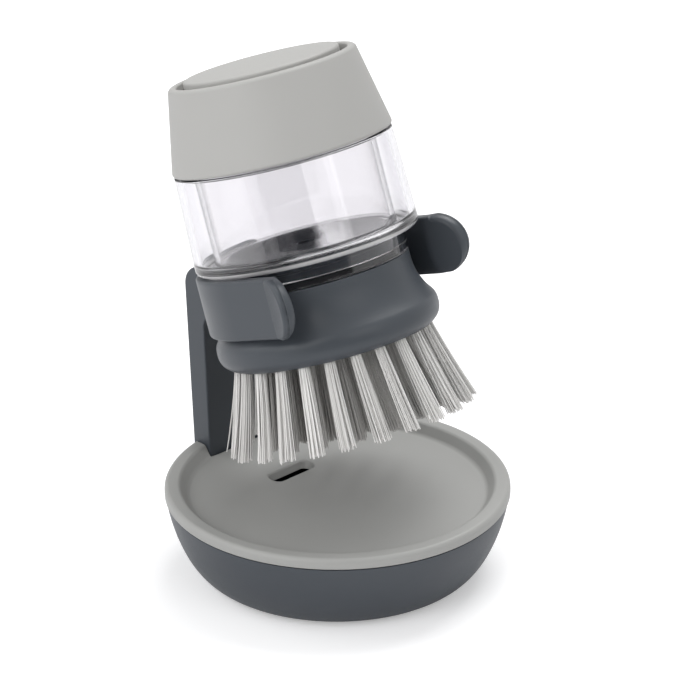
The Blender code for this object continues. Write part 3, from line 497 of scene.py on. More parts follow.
def makeBowl():
    outer = [(*bowlSide(number / bowl["points"]), 0) for number in range(bowl["points"] + 1)]
    outer[0] = (outer[0][0], outer[0][1], bowl["rimRound"])
    wall, floor = bowl["wall"], bowl["floor"]
    inner = [(across - wall, up, 0) for across, up, turn in outer if up > floor + wall / 2]
    inner[0] = (inner[0][0], inner[0][1], bowl["rimRound"])
    inner.append((inner[-1][0] - wall * 0.6, floor, wall * 0.5))
    recess = pad["radius"] + gap
    corners = [(0, floor, 0)] + inner[::-1] + outer
    corners += [(recess, bowl["underside"], 0), (recess, bowl["padSeat"], 0),
                (0, bowl["padSeat"], 0)]
    piece = turnPiece("standBase", corners)
    for side in (-1, 1):
        y = side * bowl["screwSpread"]
        cutWith(piece, rod("boss", bowl["bossRadius"], floor - bowl["bossSink"], bowl["bossTop"],
                           bowl["screwX"], y), "UNION")
        cutWith(piece, rod("bore", bowl["boreRadius"], 0, bowl["bossTop"] + past,
                           bowl["screwX"], y))
        cutWith(piece, rod("sink", bowl["sinkRadius"], 0, bowl["sinkTop"], bowl["screwX"], y))
    half = bowl["slotHalf"]
    cutWith(piece, brick("slot", (-outside, -half, bowl["slotLow"]),
                         (bowl["slotFront"], half, bowl["height"] + past)))
    settle(piece, slate, "stand", "stand_base")


# drip tray

tray = {"radius": 0.0450, "rimLow": 0.0213, "rimHigh": 0.0242, "rimWidth": 0.0040,
        "rimRound": 0.0013, "recessLow": 0.0213, "recessRun": 0.0020, "recessRound": 0.0016,
        "middle": 0.0205, "thickness": 0.0018, "skirtLow": 0.0195, "skirtRadius": 0.0415,
        "slotX": -0.0172, "slotLength": 0.0140, "slotWidth": 0.0048, "slotSoften": 0.0005,
        "slotPinch": 0.0009, "slotMouth": 0.00035, "slotSides": 64, "notchX": -0.0376,
        "notchHalf": 0.0099}


def makeTray():
    inner = tray["radius"] - tray["rimWidth"]
    floorRadius = inner - tray["recessRun"]
    corners = [
        (0, tray["middle"], 0),
        (floorRadius, tray["recessLow"], tray["recessRound"]),
        (inner, tray["rimHigh"], tray["rimRound"]),
        (tray["radius"], tray["rimHigh"], tray["rimRound"]),
        (tray["radius"], tray["rimLow"], softRound),
        (tray["skirtRadius"], tray["rimLow"], 0),
        (tray["skirtRadius"], tray["skirtLow"], softRound),
        (tray["skirtRadius"] - tray["thickness"], tray["skirtLow"], softRound),
        (floorRadius - tray["thickness"], tray["recessLow"] - tray["thickness"], 0),
        (0, tray["middle"] - tray["thickness"], 0),
    ]
    piece = turnPiece("dripTray", corners)
    half = tray["notchHalf"]
    cutWith(piece, brick("notch", (-outside, -half, tray["skirtLow"] - past),
                         (tray["notchX"], half, tray["rimHigh"] + past)))
    cutWith(piece, makeSlotCutter())
    settle(piece, midGrey, "tray", "drip_tray")


def makeSlotCutter():
    # a slot with a softened mouth: a round-ended bar that narrows below where it meets the floor
    pinch, soften = tray["slotPinch"], tray["slotSoften"]
    reach, half = tray["slotLength"] / 2, tray["slotWidth"] / 2
    surface = tray["middle"] + tray["slotMouth"]      # of the tray's floor, where the slot is
    underside = surface - tray["thickness"] - gap
    levels = [(-pinch, underside - past), (-pinch, underside), (0, surface - soften)]
    levels += [(soften * (1 - math.cos(angle)), surface - soften * (1 - math.sin(angle)))
               for angle in quarterTurn(4)[1:]]
    levels.append((soften, surface + past))
    letGo()
    bpy.ops.mesh.primitive_circle_add(vertices=tray["slotSides"], radius=half - pinch,
                                      fill_type="NGON", location=(0, 0, levels[0][1]))
    piece = bpy.context.object
    piece.name = "slotCutter"
    applyPlace()
    bpy.ops.object.mode_set(mode="EDIT")
    for side in (-1, 1):
        selectVerts(piece, lambda place: place.y * side > 0.00001)
        bpy.ops.transform.translate(value=(0, side * (reach - half), 0))
    selectAll()
    for (spread, low), (nextSpread, high) in zip(levels, levels[1:]):
        extrudeBy(0, 0, high - low)
        if nextSpread > spread:
            bpy.ops.transform.resize(value=((half + nextSpread) / (half + spread),
                                            (reach + nextSpread) / (reach + spread), 1),
                                     center_override=(0, 0, high))
    selectAll()
    bpy.ops.transform.translate(value=(tray["slotX"], 0, 0))
    faceOutwards()
    return piece


makePad()
makeBowl()
makeTray()
print("bowl and tray done")


# brush head: from here the pieces are drawn upright, height 0 at the neck line

head = {"neck": 0.0250, "neckStraight": 0.0022, "flange": 0.02925, "depth": 0.0204,
        "roundWidth": 0.0090, "roundHeight": 0.00545, "roundPower": 2.5, "flareEnd": 0.55,
        "wall": 0.0024, "lip": 0.0005, "spigot": 0.0219, "spigotHeight": 0.0083,
        "spigotRound": 0.0008, "deckDish": 0.0003, "outlet": 0.0022, "outletWall": 0.0026,
        "seat": 0.0262, "seatRound": 0.0001, "polishDepth": 0.0002, "flareSteps": 12,
        "sideSteps": 9, "underSteps": 16}
tuftSeat = {"slice": 0.0011, "plate": 0.0035, "bore": 0.0062, "holeDepth": 0.002,
            "holePlay": 0.0001, "holeSides": 20}
thread = {"low": 0.0012, "pitch": 0.0030, "turns": 1.5, "depth": 0.00028, "rootHigh": 0.0009,
          "crestLow": 0.0003, "crestHigh": 0.0006}


def headLevels():
    power = head["roundPower"]
    middle = head["roundHeight"] - head["depth"]
    core = head["flange"] - head["roundWidth"]
    lipShare = (head["seat"] + head["lip"] - core) / head["roundWidth"]
    underside = middle - head["roundHeight"] * (1 - lipShare ** power) ** (1 / power)
    return middle, core, lipShare, underside


def flare():
    # the neck's flare: where it ends, and the radius of its arc
    power = head["roundPower"]
    middle, core = headLevels()[:2]
    low = middle + head["flareEnd"] * head["roundHeight"]
    across = core + head["roundWidth"] * (1 - head["flareEnd"] ** power) ** (1 / power)
    out, drop = across - head["neck"], -head["neckStraight"] - low
    return low, (out ** 2 + drop ** 2) / (2 * out)


def makeHead():
    middle, core, lipShare, underside = headLevels()
    seatHigh = underside + tuftSeat["slice"] + tuftSeat["plate"] + 2 * gap
    straight, wall, power = head["neckStraight"], head["wall"], head["roundPower"]
    deck = head["spigotHeight"] - head["deckDish"]
    corners = [(head["outlet"], deck, softRound),
               (head["spigot"], head["spigotHeight"], head["spigotRound"]),
               (head["spigot"], 0, 0), (head["neck"], 0, smallRound),
               (head["neck"], -straight, 0)]
    flareLow, flareRadius = flare()
    for number in range(1, head["flareSteps"]):
        drop = (-straight - flareLow) * number / head["flareSteps"]
        across = head["neck"] + flareRadius - math.sqrt(flareRadius ** 2 - drop ** 2)
        corners.append((across, -straight - drop, 0))
    first = math.asin(head["flareEnd"] ** (power / 2))
    last = math.acos(lipShare ** (power / 2))
    angles = [-first * number / head["sideSteps"] for number in range(head["sideSteps"], 0, -1)]
    angles += [last * number / head["underSteps"] for number in range(head["underSteps"] + 1)]
    for angle in angles:
        rise = math.copysign(abs(math.sin(angle)) ** (2 / power), angle)
        corners.append((core + head["roundWidth"] * math.cos(angle) ** (2 / power),
                        middle - head["roundHeight"] * rise, 0))
    cavity, spigotCavity = head["neck"] - wall, head["spigot"] - wall
    tube = head["outlet"] + head["outletWall"]
    corners += [(head["seat"], underside, head["seatRound"]), (head["seat"], seatHigh, 0),
                (cavity, seatHigh, 0), (cavity, -wall, 0), (spigotCavity, -wall, 0),
                (spigotCavity, deck - wall, 0), (tube, deck - wall, 0), (tube, seatHigh, 0),
                (head["outlet"], seatHigh, 0)]
    piece = turnPiece("brushHead", corners, closed=True)
    addThread(piece)
    polish = piece.data.attributes.new("polish", "FLOAT", "POINT")
    for vert, item in zip(piece.data.vertices, polish.data):
        item.value = 1 if vert.co.z > deck - head["polishDepth"] else 0
    settle(piece, slateHead, "brush", "brush_head", onBrush=True)


def addThread(piece):
    # the spigot's screw thread, seen through the reservoir's clear neck
    low, foot, crest = thread["low"], head["spigot"] - gap, head["spigot"] + thread["depth"]
    outline = [(foot, low), (foot, low + thread["rootHigh"]), (crest, low + thread["crestHigh"]),
               (crest, low + thread["crestLow"])]
    helix = drawOutline("thread", outline, closed=True)
    bpy.ops.object.mode_set(mode="OBJECT")
    turn = helix.modifiers.new("thread", "SCREW")
    turn.angle = 2 * math.pi * thread["turns"]
    turn.screw_offset = thread["pitch"] * thread["turns"]
    turn.steps = turn.render_steps = round(plateSides * thread["turns"])
    applyAll(helix)
    startEdit()
    bpy.ops.mesh.fill_holes(sides=6)
    faceOutwards()
    cutWith(piece, helix, "UNION")


# tufts

# rings: radius, tuft count, phase, and a painted shade, lower for the inner rings that the outer
# tufts shade
tufts = {"rings": ((0.02429, 23, 0.15, 1), (0.01813, 15, 0.4, 0.55), (0.01169, 9, 0.4, 0.35)),
         "length": 0.0222, "splay": 1.268, "rootSpread": 0.00145, "tipSpread": 0.00205,
         "filaments": 42, "filamentRadius": 0.00019, "sides": 6, "steps": 5, "ragged": 0.0010,
         "wander": 0.00035, "stray": 0.00018, "loose": 0.05, "looseSpread": 0.0010,
         "rootHigh": 0.0018, "bow": 0.0003, "bowSpread": 0.00012, "sideBow": 0.00008,
         "darkest": 0.55, "tipWidth": 0.8}


def tuftPlaces():
    # each tuft's angle, the distance of its root from the axis, and its ring's painted shade
    for ringRadius, count, phase, shade in tufts["rings"]:
        for number in range(count):
            yield 2 * math.pi * (number + phase) / count, ringRadius, shade


def makeFilament():
    # one filament, upright and of unit length, with its cut tip a little narrowed
    letGo()
    bpy.ops.mesh.primitive_circle_add(vertices=tufts["sides"], radius=1, fill_type="NGON")
    strand = bpy.context.object
    strand.name = "filament"
    startEdit()
    for number in range(tufts["steps"]):
        extrudeBy(0, 0, 1 / tufts["steps"])
    bpy.ops.transform.resize(value=(tufts["tipWidth"], tufts["tipWidth"], 1),
                             center_override=(0, 0, 1))
    faceOutwards()
    return strand


def setFilament(strand, root, tip, bow, shade):
    # a copy of the filament between two places, bowed along the way
    mesh = strand.data.copy()
    along = tip - root
    side = along.cross(Vector((0, 1, 0))).normalized()
    other = along.cross(side).normalized()
    for vert in mesh.vertices:
        share = vert.co.z
        place = root + along * share + bow * (4 * share * (1 - share))
        vert.co = place + (side * vert.co.x + other * vert.co.y) * tufts["filamentRadius"]
    # the strand's random tone times its ring's painted shade, read by the nylon's ramp
    tone = mesh.attributes.new("strandToneAndPaintedShade", "FLOAT", "POINT")
    for item in tone.data:
        item.value = shade
    copy = bpy.data.objects.new("filament", mesh)
    bpy.context.collection.objects.link(copy)
    return copy


def makeBristles():
    underside = headLevels()[3]
    strand = makeFilament()
    chance = random.Random(7)
    golden = math.pi * (3 - math.sqrt(5))
    copies = []

    def levelDrift(spread):
        return Vector((chance.gauss(0, spread), chance.gauss(0, spread), 0))

    for around, ringRadius, ringPaintedShade in tuftPlaces():
        outward = Vector((math.cos(around), math.sin(around), 0))
        middle = outward * ringRadius
        wander = levelDrift(tufts["wander"])
        for number in range(tufts["filaments"]):
            share = math.sqrt((number + 0.5) / tufts["filaments"])
            turn = golden * number + around
            offset = Vector((math.cos(turn), math.sin(turn), 0)) * share
            root = middle + offset * (tufts["rootSpread"] - tufts["filamentRadius"])
            root.z = underside + tufts["rootHigh"]
            loose = chance.random() < tufts["loose"]
            stray = levelDrift(tufts["looseSpread"] if loose else tufts["stray"])
            tip = middle * tufts["splay"] + offset * tufts["tipSpread"] + wander + stray
            tip.z = underside - tufts["length"] + tufts["ragged"] * chance.random() ** 2
            bow = -outward * chance.gauss(tufts["bow"], tufts["bowSpread"])
            bow += levelDrift(tufts["sideBow"])
            # a random tone for the strand, times its ring's painted shade
            shade = chance.uniform(tufts["darkest"], 1) * ringPaintedShade
            copies.append(setFilament(strand, root, tip, bow, shade))
    bpy.data.objects.remove(strand, do_unlink=True)
    piece = joinAll(copies)
    piece.name = "bristleTufts"
    faceOutwards()
    settle(piece, nylon, "brush", "bristles", onBrush=True, sharp=math.radians(70))


def makeTuftPlate():
    # the plate with a hole for each tuft, and the face that shows between the tufts
    underside = headLevels()[3]
    high = underside + tuftSeat["slice"] + tuftSeat["plate"] + gap
    outer = head["seat"] - gap
    corners = [(outer, high, 0), (outer, underside, smallRound),
               (tuftSeat["bore"], underside, smallRound), (tuftSeat["bore"], high, 0)]
    piece = turnPiece("tuftPlate", corners, closed=True, sides=plateSides)
    holes = [rod("hole", tufts["rootSpread"] + tuftSeat["holePlay"], underside - past,
                 underside + tuftSeat["holeDepth"], ringRadius * math.cos(around),
                 ringRadius * math.sin(around), sides=tuftSeat["holeSides"])
             for around, ringRadius, ringPaintedShade in tuftPlaces()]
    cutWith(piece, joinAll(holes))
    settle(piece, slate, "brush", "tuft_plate", onBrush=True)


makeHead()
makeTuftPlate()
makeBristles()
print("head and tufts done")


# post and cradle: one dark moulding that holds the brush by its neck

stand = {"width": 0.0190, "edge": 0.0008, "frontX": -0.0380, "backX": -0.0445, "sill": 0.0213,
         "throat": (-0.04002, 0.06093), "throatRound": 0.0042, "throatEnd": (-0.03290, 0.06349),
         "crest": (-0.03733, 0.07582), "back": (-0.04715, 0.07324), "topRound": 0.0058,
         "flush": -0.04358, "keyLow": 0.0140, "keyIn": -0.03845, "footLow": 0.0068,
         "footHigh": 0.0108, "footFront": -0.0198, "stepX": -0.0310, "stepHigh": 0.0168,
         "pilotRadius": 0.0016, "pilotTop": 0.0099, "keyDraft": 0.0012, "keyChamfer": 0.0010,
         "footChamfer": 0.0042, "footRound": 0.0007, "stepRound": 0.0012, "bevelSteps": 4}
cradle = {"radius": 0.0298, "low": -0.00990, "high": 0.0057, "play": 0.0010, "topRound": 0.0008,
          "lowRound": 0.0011, "innerTopRound": 0.0008, "innerLowRound": 0.0004,
          "armLength": 0.0149, "bend": 0.0012, "earAngle": math.radians(24), "earLength": 0.0091,
          "earHalf": 0.00803, "outerSoft": 0.0008, "innerSoft": 0.0016, "innerSoftRun": 0.0026,
          "seam": 0.00010, "seamHalf": 0.00016, "seamShift": 0.0003, "innerSteps": 7,
          "bendSteps": 8, "earSteps": 40, "softSteps": 8}


def cradleInner(height):
    # the inner face keeps its play to the head's neck and flare
    centre = head["neck"] + flare()[1]
    depth = max(0, -head["neckStraight"] - height)
    return centre - math.sqrt((flare()[1] - cradle["play"]) ** 2 - depth ** 2)


def makeCradle():
    low, high = cradle["low"], cradle["high"]
    corners = [(-cradleInner(0), high, cradle["innerTopRound"]),
               (-cradle["radius"], high, cradle["topRound"]),
               (-cradle["radius"], low, cradle["lowRound"]),
               (-cradleInner(low), low, cradle["innerLowRound"])]
    for number in range(1, cradle["innerSteps"] + 1):
        height = low + (-head["neckStraight"] - low) * number / cradle["innerSteps"]
        corners.append((-cradleInner(height), height, 0))
    piece = drawOutline("cradle", roundCorners(corners, True, math.radians(16)), closed=True)
    # quarter turn round the neck, straight arm, bend, ear; spin turns clockwise from above
    bpy.ops.mesh.spin(steps=fineSides // 4, angle=math.pi / 2, center=(0, 0, 0), axis=(0, 0, 1))
    extrudeBy(cradle["armLength"], 0, 0)
    bpy.ops.mesh.spin(steps=cradle["bendSteps"], angle=-cradle["earAngle"], center=earPivot(),
                      axis=(0, 0, 1))
    along = Vector((math.cos(cradle["earAngle"]), math.sin(cradle["earAngle"]), 0))
    extrudeBy(*along * cradle["earLength"] * 1.05)       # the cutter takes off the excess
    bpy.ops.mesh.edge_face_add()
    bpy.ops.object.mode_set(mode="OBJECT")
    mirror = piece.modifiers.new("other side", "MIRROR")
    mirror.use_axis = (False, True, False)
    mirror.merge_threshold = 0.00001
    applyAll(piece)
    faceOutwards(merge=0.000005)
    for side in (-1, 1):
        cutWith(piece, makeEarCutter(side))
    return piece


def earPivot():
    # where the arm bends out to the ear
    return (cradle["armLength"], cradle["radius"] + cradle["bend"], 0)


def makeEarCutter(side):
    # cuts an ear's end to a D with rounded rims, and leaves the mould's seam standing on it
    halfHigh, middle = cradle["earHalf"], (cradle["low"] + cradle["high"]) / 2
    halfLong = halfHigh / math.cos(cradle["earAngle"])
    centre = cradle["armLength"] + cradle["earLength"] - halfLong
    shape = (centre, middle, halfLong, halfHigh)
    end, over = centre + halfLong + 2 * past, halfHigh + 2 * past
    outline = [(end, middle - over), (centre, middle - over)]
    for number in range(cradle["earSteps"] + 1):
        angle = -math.pi / 2 + math.pi * number / cradle["earSteps"]
        outline.append((centre + halfLong * math.cos(angle), middle + halfHigh * math.sin(angle)))
    outline += [(centre, middle + over), (end, middle + over)]

    # the D's size from the ear's inner face to its outer one
    outer, inner = cradle["radius"], cradleInner(0)
    outerSoft, innerSoft, run = cradle["outerSoft"], cradle["innerSoft"], cradle["innerSoftRun"]
    seamY, seamHalf = (outer + inner) / 2 + cradle["seamShift"], cradle["seamHalf"]
    angles = quarterTurn(cradle["softSteps"])
    levels = [(inner - past, -innerSoft)]
    levels += [(inner + run * (1 - math.cos(angle)), -innerSoft * (1 - math.sin(angle)))
               for angle in angles]
    levels += [(seamY - seamHalf, 0), (seamY, cradle["seam"]), (seamY + seamHalf, 0)]
    levels += [(outer - outerSoft * (1 - math.sin(angle)), -outerSoft * (1 - math.cos(angle)))
               for angle in angles]
    levels.append((outer + past, -outerSoft))

    piece = drawOutline("earCutter", outline, closed=True)
    bpy.ops.mesh.edge_face_add()
    bpy.ops.transform.translate(value=(0, levels[0][0], 0))
    setEarSize(piece, levels[0], 0, shape)
    for before, level in zip(levels, levels[1:]):
        selectVerts(piece, lambda place: abs(place.y - before[0]) < 1e-7)
        extrudeBy(0, level[0] - before[0], 0)
        setEarSize(piece, level, before[1], shape)
    faceOutwards()

    pivot = Matrix.Translation(earPivot())
    piece.matrix_world = pivot @ Matrix.Rotation(cradle["earAngle"], 4, "Z") @ pivot.inverted()
    applyPlace()
    if side < 0:
        piece.scale.y = -1
        applyPlace()
        faceOutwards()
    return piece


def setEarSize(piece, level, before, shape):
    # scales the D of the newest outline about its centre, from its size before to this one
    y, grow = level
    if grow == before:
        return
    centre, middle, halfLong, halfHigh = shape
    selectVerts(piece, lambda place: abs(place.y - y) < 1e-7
                and abs(math.hypot((place.x - centre) * halfHigh / halfLong, place.z - middle)
                        - halfHigh - before) < 0.0001 and place.x > centre + 1e-5)
    share = (halfHigh + grow) / (halfHigh + before)
    bpy.ops.transform.resize(value=(share, 1, share), center_override=(centre, y, middle))


def makePost():
    sill, keyLow, keyIn = stand["sill"], stand["keyLow"], stand["keyIn"]
    footLow, footHigh, footRound = stand["footLow"], stand["footHigh"], stand["footRound"]
    corners = [(stand["frontX"], stand["stepHigh"], 0), (*stand["throat"], stand["throatRound"]),
               (*stand["throatEnd"], 0), (*stand["crest"], 0), (*stand["back"], stand["topRound"]),
               (stand["backX"], sill, footRound), (stand["flush"], sill, 0),
               (stand["flush"] + stand["keyDraft"], keyLow, 0), (keyIn, keyLow, 0),
               (keyIn + stand["keyChamfer"], (keyLow + footLow) / 2, 0),
               (keyIn + stand["footChamfer"], footLow, 0), (stand["footFront"], footLow, 0),
               (stand["footFront"], footHigh, footRound),
               (stand["stepX"], footHigh, stand["stepRound"]),
               (stand["stepX"], stand["stepHigh"], footRound)]
    piece = drawOutline("standPost", roundCorners(corners, True, math.radians(9)), closed=True)
    bpy.ops.mesh.edge_face_add()
    bpy.ops.transform.translate(value=(0, -stand["width"] / 2, 0))
    extrudeBy(0, stand["width"], 0)
    faceOutwards()
    soften = piece.modifiers.new("edges", "BEVEL")
    soften.width = stand["edge"]
    soften.segments = stand["bevelSteps"]
    soften.limit_method = "ANGLE"
    soften.angle_limit = math.radians(50)
    applyAll(piece)
    holder = makeCradle()
    pick(holder)
    holder.matrix_world = brushPlace @ holder.matrix_world
    applyPlace()
    cutWith(piece, holder, "UNION")
    for side in (-1, 1):
        cutWith(piece, rod("pilot", stand["pilotRadius"], footLow - past, stand["pilotTop"],
                           bowl["screwX"], side * bowl["screwSpread"]))
    settle(piece, slate, "stand", "stand_post", sharp=math.radians(40))


# reservoir

shell = {"neck": 0.0252, "shoulder": 0.0060, "foot": 0.0294, "top": 0.0286, "topHeight": 0.0319,
         "footRound": 0.0030, "innerRound": 0.0024, "wall": 0.0019, "floor": 0.0012, "bore": 0.0223,
         "sealSeat": 0.0237, "sealHigh": 0.0021, "low": 0.0003, "edge": 0.0003, "frost": 0.16,
         "frostShare": 0.9, "paintedHighlightShare": 0.5, "neckRound": 0.0005}
chamber = {"radius": 0.0238, "wall": 0.0012, "top": 0.0365, "flange": 0.0008}


def makeReservoir():
    shoulder, foot, edge = shell["shoulder"], shell["foot"], shell["edge"]
    floor = shoulder + shell["floor"]
    rise = shell["footRound"] + gap              # a ring in the wall, above the frosted band
    slope = (shell["top"] - foot) / (shell["topHeight"] - shoulder)
    corners = [
        (shell["top"] - shell["wall"], shell["topHeight"], edge),
        (shell["top"], shell["topHeight"], edge),
        (foot + slope * rise, shoulder + rise, 0),
        (foot, shoulder, shell["footRound"]),
        (shell["neck"], shoulder, shell["neckRound"]),
        (shell["neck"], shell["low"], edge),
        (shell["sealSeat"], shell["low"], 0),
        (shell["sealSeat"], shell["sealHigh"], 0),
        (shell["bore"], shell["sealHigh"], edge),
        (shell["bore"], floor, edge),
        (foot - shell["wall"], floor, shell["innerRound"]),
    ]
    piece = turnPiece("reservoirShell", corners, closed=True)
    # the outside of the foot's round is frosted, and its lower half is a little milky, a painted
    # highlight along the foot
    verts = piece.data.vertices
    frost = piece.data.attributes.new("frost", "FLOAT", "POINT").data
    for vert, item in zip(verts, frost):
        isOutside = vert.co.xy.length > foot - shell["footRound"]
        inBand = shoulder < vert.co.z < shoulder + shell["footRound"] * shell["frostShare"]
        item.value = shell["frost"] if isOutside and inBand else 0
    paintedHighlightTop = shoulder + shell["footRound"] * shell["paintedHighlightShare"]
    paintedHighlightFaces = [face.index for face in piece.data.polygons
             if all(frost[corner].value > 0 and verts[corner].co.z < paintedHighlightTop
                    for corner in face.vertices)]
    settle(piece, clearShell, "dispenser", "reservoir", onBrush=True)
    # the lower band's faces take the milky material, a painted highlight
    piece.data.materials.append(clearFoot)
    for index in paintedHighlightFaces:
        piece.data.polygons[index].material_index = 1


def makeChamber():
    inner = chamber["radius"] - chamber["wall"]
    low = shell["shoulder"] + shell["floor"] + gap
    flange = shell["top"] - shell["wall"] - gap
    edge = shell["edge"]
    corners = [
        (inner, chamber["top"], edge), (chamber["radius"], chamber["top"], edge),
        (chamber["radius"], shell["topHeight"], 0), (flange, shell["topHeight"], 0),
        (flange, shell["topHeight"] - chamber["flange"], 0),
        (chamber["radius"], shell["topHeight"] - chamber["flange"], fineRound),
        (chamber["radius"], low, edge), (inner, low, edge),
    ]
    piece = turnPiece("soapChamber", corners, closed=True)
    settle(piece, clearTube, "dispenser", "soap_chamber", onBrush=True)


# lid under the cap, cap and button

lid = {"low": 0.0381, "high": 0.0401, "skirt": 0.0337, "radius": 0.0252, "wall": 0.0010,
       "bore": 0.0015, "airX": 0.0180, "airHole": 0.0011, "airSides": 24}
cap = {"low": 0.0322, "high": 0.0543, "radius": 0.0290, "taper": math.radians(11.5),
       "footRound": 0.0016, "topRound": 0.0054, "wall": 0.0020, "lip": 0.0020,
       "lipRound": 0.0006, "opening": 0.0224, "guide": 0.0233, "skirtTop": 0.0337,
       "skirtSide": 0.0365, "lidSeat": 0.0355, "ribWidth": 0.0018, "ribHeight": 0.0015}
button = {"radius": 0.0204, "edge": 0.0552, "crown": 0.0011, "edgeRound": 0.0008,
          "flange": 0.0229, "flangeHigh": 0.0520, "flangeLow": 0.0508, "wall": 0.0018,
          "steps": 12}


def capSide(height):
    return cap["radius"] - (height - cap["low"]) * math.tan(cap["taper"])


def makeLid():
    inner = lid["radius"] - lid["wall"]
    corners = [(lid["radius"], lid["high"], smallRound), (lid["radius"], lid["skirt"], smallRound),
               (inner, lid["skirt"], fineRound), (inner, lid["low"], 0),
               (lid["bore"], lid["low"], 0), (lid["bore"], lid["high"], fineRound)]
    piece = turnPiece("lidPlate", corners, closed=True, sides=plateSides)
    cutWith(piece, rod("airHole", lid["airHole"], lid["low"] - past, lid["high"] + past,
                       lid["airX"], 0, sides=lid["airSides"]))
    settle(piece, midGrey, "dispenser", "lid_plate", onBrush=True)


def makeCap():
    lipLow = cap["high"] - cap["lip"]
    ribLow = lid["high"] + gap
    ribHigh = ribLow + cap["ribHeight"]
    lidSide = lid["radius"] + gap
    ribInner = lidSide - cap["ribWidth"]
    corners = [
        (cap["opening"], lipLow, fineRound),
        (cap["opening"], cap["high"], cap["lipRound"]),
        (capSide(cap["high"]), cap["high"], cap["topRound"]),
        (cap["radius"], cap["low"], cap["footRound"]),
        (capSide(cap["low"]) - cap["wall"], cap["low"], fineRound),
        (capSide(cap["skirtSide"]) - cap["wall"], cap["skirtTop"], 0),
        (lidSide, cap["lidSeat"], 0),
        (lidSide, ribLow, 0),
        (ribInner, ribLow, fineRound),
        (ribInner, ribHigh, fineRound),
        (capSide(ribHigh) - cap["wall"], ribHigh, softRound),
        (cap["guide"], button["flangeLow"], 0),
        (cap["guide"], lipLow, 0),
    ]
    piece = turnPiece("capShell", corners, closed=True, step=math.radians(9))
    settle(piece, warmGrey, "dispenser", "cap_shell", onBrush=True)


def makeButton():
    radius, edge, crown = button["radius"], button["edge"], button["crown"]
    domeRadius = (radius ** 2 + crown ** 2) / (2 * crown)
    domeCentre = edge + crown - domeRadius
    corners = []
    for number in range(button["steps"]):
        across = radius * number / button["steps"]
        corners.append((across, domeCentre + math.sqrt(domeRadius ** 2 - across ** 2), 0))
    inner = radius - button["wall"]
    ceiling = edge - button["wall"]
    corners += [
        (radius, edge, button["edgeRound"]),
        (radius, button["flangeHigh"], smallRound),
        (button["flange"], button["flangeHigh"], fineRound),
        (button["flange"], button["flangeLow"], fineRound),
        (inner, button["flangeLow"], fineRound),
        (inner, ceiling, softRound),
        (0, ceiling + crown / 2, 0),
    ]
    piece = turnPiece("pushButton", corners, step=math.radians(9))
    settle(piece, warmGrey, "button", "push_button", onBrush=True)


makePost()
print("post done")
makeReservoir()
makeChamber()
makeLid()
makeCap()
makeButton()
print("reservoir and cap done")


# carried-over nodes

for nodeName, material in (("post_screw_1", steel), ("post_screw_2", steel),
                           ("outlet_valve", silicone), ("valve_retainer", slate),
                           ("neck_seal", blackRubber), ("lid_gasket", blackRubber),
                           ("air_valve", silicone), ("button_spring", steel),
                           ("pump_bulb", silicone)):
    node = frame["nodes"][nodeName]
    for slot in node.material_slots:
        slot.material = material

# the spring and the bulb get meshes of their own
for nodeName in ("button_spring", "pump_bulb"):
    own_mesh(frame["nodes"][nodeName])


# floor, light and camera

studio = {"floorSize": 6, "floorColour": (0.88, 0.88, 0.89), "floorGlow": 0.32,
          "floorRoughness": 0.9, "floorSpecular": 0.1, "worldStrength": 0.42,
          "backdrop": (0.8, 0.8, 0.8), "cardColour": (0.02, 0.021, 0.026), "cardRoughness": 0.9,
          "lampAway": 1.3, "lampAim": 0.06}
# lamps: degrees round from the camera, degrees up, watts, width
lamps = {"side": (-97, 35, 3.4, 0.8), "key": (-38, 35, 6.2, 0.8), "fill": (35, 35, 2.7, 0.8),
         "back": (152, 63, 9.8, 0.8)}
# a very small lamp that the head's polished top mirrors
glint = {"power": 0.0010, "size": 0.0145, "place": (0.2, 0.0055, 0.066)}
# dark cards that only mirror and clear surfaces see: how far they stand beyond the brush and to
# the left of it, the height of their middle, their width and their height
cards = {"deck": (0.2, 0.068, 0.067, 0.113, 0.042), "room": (-1.7, 0, 1.1, 4, 3)}
camera = {"distance": 1.1, "azimuth": math.radians(45.28), "elevation": math.radians(24.73),
          "roll": math.radians(-0.30), "sideways": 0.00344, "height": 0.06142,
          "focalPixels": 4288.8, "picture": 700, "sensor": 36, "nearest": 0.05, "farthest": 20}


def makeFloor():
    letGo()
    bpy.ops.mesh.primitive_plane_add(size=studio["floorSize"], location=(0, 0, 0))
    floor = bpy.context.object
    floor.name = "floor"
    material, tree, shader = startMaterial("paleFloor")
    seen = addNode(tree, "LightPath").outputs["Is Camera Ray"]
    wire(tree, shader, {"Base Color": (*studio["floorColour"], 1),
                        "Roughness": studio["floorRoughness"],
                        "Specular IOR Level": studio["floorSpecular"],
                        "Emission Color": (1, 1, 1, 1),
                        "Emission Strength": addMath(tree, "MULTIPLY", seen,
                                                     studio["floorGlow"])})
    floor.data.materials.append(material)


def makeWorld():
    # one world lights the object, and another is seen by the camera, in gloss and through glass
    world = bpy.data.worlds.new("studio")
    bpy.context.scene.world = world
    world.use_nodes = True
    tree = world.node_tree
    lighting = tree.nodes["Background"]
    wire(tree, lighting, {"Color": (1, 1, 1, 1), "Strength": studio["worldStrength"]})
    backdrop = addNode(tree, "Background", {"Color": (*studio["backdrop"], 1), "Strength": 1})
    look = addNode(tree, "LightPath").outputs
    mirrored = addMath(tree, "MAXIMUM", look["Is Glossy Ray"], look["Is Transmission Ray"])
    seen = addMath(tree, "MAXIMUM", look["Is Camera Ray"], mirrored)
    mix = addNode(tree, "MixShader", {"Fac": seen, 1: lighting.outputs["Background"],
                                      2: backdrop.outputs["Background"]})
    tree.links.new(mix.outputs["Shader"], tree.nodes["World Output"].inputs["Surface"])


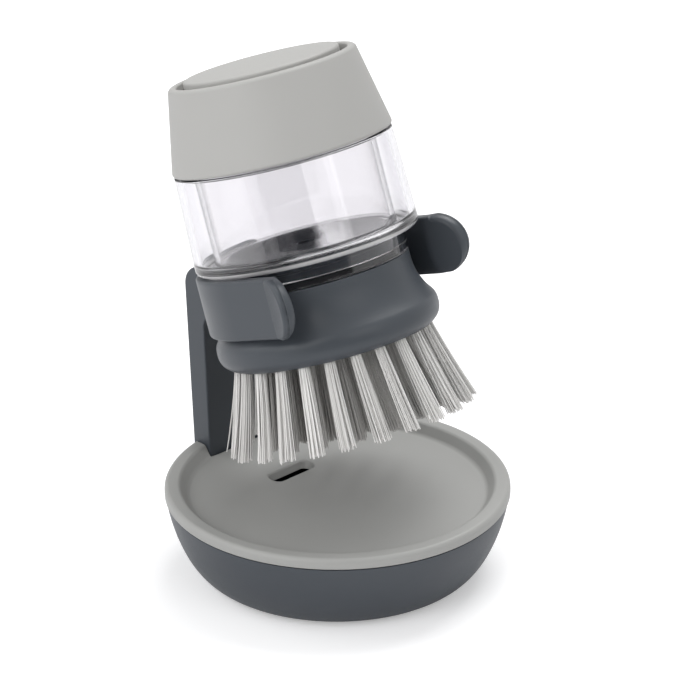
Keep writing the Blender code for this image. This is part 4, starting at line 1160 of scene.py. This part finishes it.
def makeLamp(name, power, size, place):
    letGo()
    bpy.ops.object.light_add(type="AREA", location=place)
    lamp = bpy.context.object
    lamp.name = name
    lamp.data.energy = power
    lamp.data.size = size
    aim = Vector((0, 0, studio["lampAim"])) - Vector(place)
    lamp.rotation_euler = aim.to_track_quat("-Z", "Y").to_euler()


def lampPlace(turn, high):
    aside = Matrix.Rotation(camera["azimuth"] + math.radians(turn), 3, "Z")
    lifted = Matrix.Rotation(-math.radians(high), 3, "X") @ Vector((0, -studio["lampAway"], 0))
    return aside @ lifted


def behindBrush(away, left, height):
    offset = Matrix.Rotation(camera["azimuth"], 3, "Z") @ Vector((-left, away, height))
    return neckPlace * Vector((1, 1, 0)) + offset


def makeCard(name, place):
    away, left, height, width, tall = place
    letGo()
    bpy.ops.mesh.primitive_plane_add(size=1, location=behindBrush(away, left, height))
    card = bpy.context.object
    card.name = name
    card.scale = (width, tall, 1)
    card.rotation_euler = (math.pi / 2, 0, camera["azimuth"])
    applyPlace()
    material, tree, shader = startMaterial(name)
    wire(tree, shader, {"Base Color": (*studio["cardColour"], 1),
                        "Roughness": studio["cardRoughness"]})
    card.data.materials.append(material)
    card.visible_camera = False
    card.visible_diffuse = False
    card.visible_shadow = False


def makeCamera():
    around = Matrix.Rotation(camera["azimuth"], 4, "Z")
    tilt = Matrix.Rotation(math.pi / 2 - camera["elevation"], 4, "X")
    roll = Matrix.Rotation(camera["roll"], 4, "Z")
    target = around @ Matrix.Translation((camera["sideways"], 0, camera["height"]))
    bpy.ops.object.camera_add(location=(0, 0, 0))
    eye = bpy.context.object
    eye.matrix_world = target @ tilt @ roll @ Matrix.Translation((0, 0, camera["distance"]))
    eye.data.sensor_width = camera["sensor"]
    eye.data.lens = camera["focalPixels"] * camera["sensor"] / camera["picture"]
    eye.data.clip_start = camera["nearest"]
    eye.data.clip_end = camera["farthest"]
    bpy.context.scene.camera = eye


makeFloor()
makeWorld()
for lampName, (turn, high, power, size) in lamps.items():
    makeLamp(lampName + "Light", power, size, lampPlace(turn, high))
makeLamp("glintLight", glint["power"], glint["size"], behindBrush(*glint["place"]))
for cardName, cardPlace in cards.items():
    makeCard(cardName + "Card", cardPlace)
makeCamera()
bpy.context.scene.view_settings.view_transform = "Standard"
print("studio done")
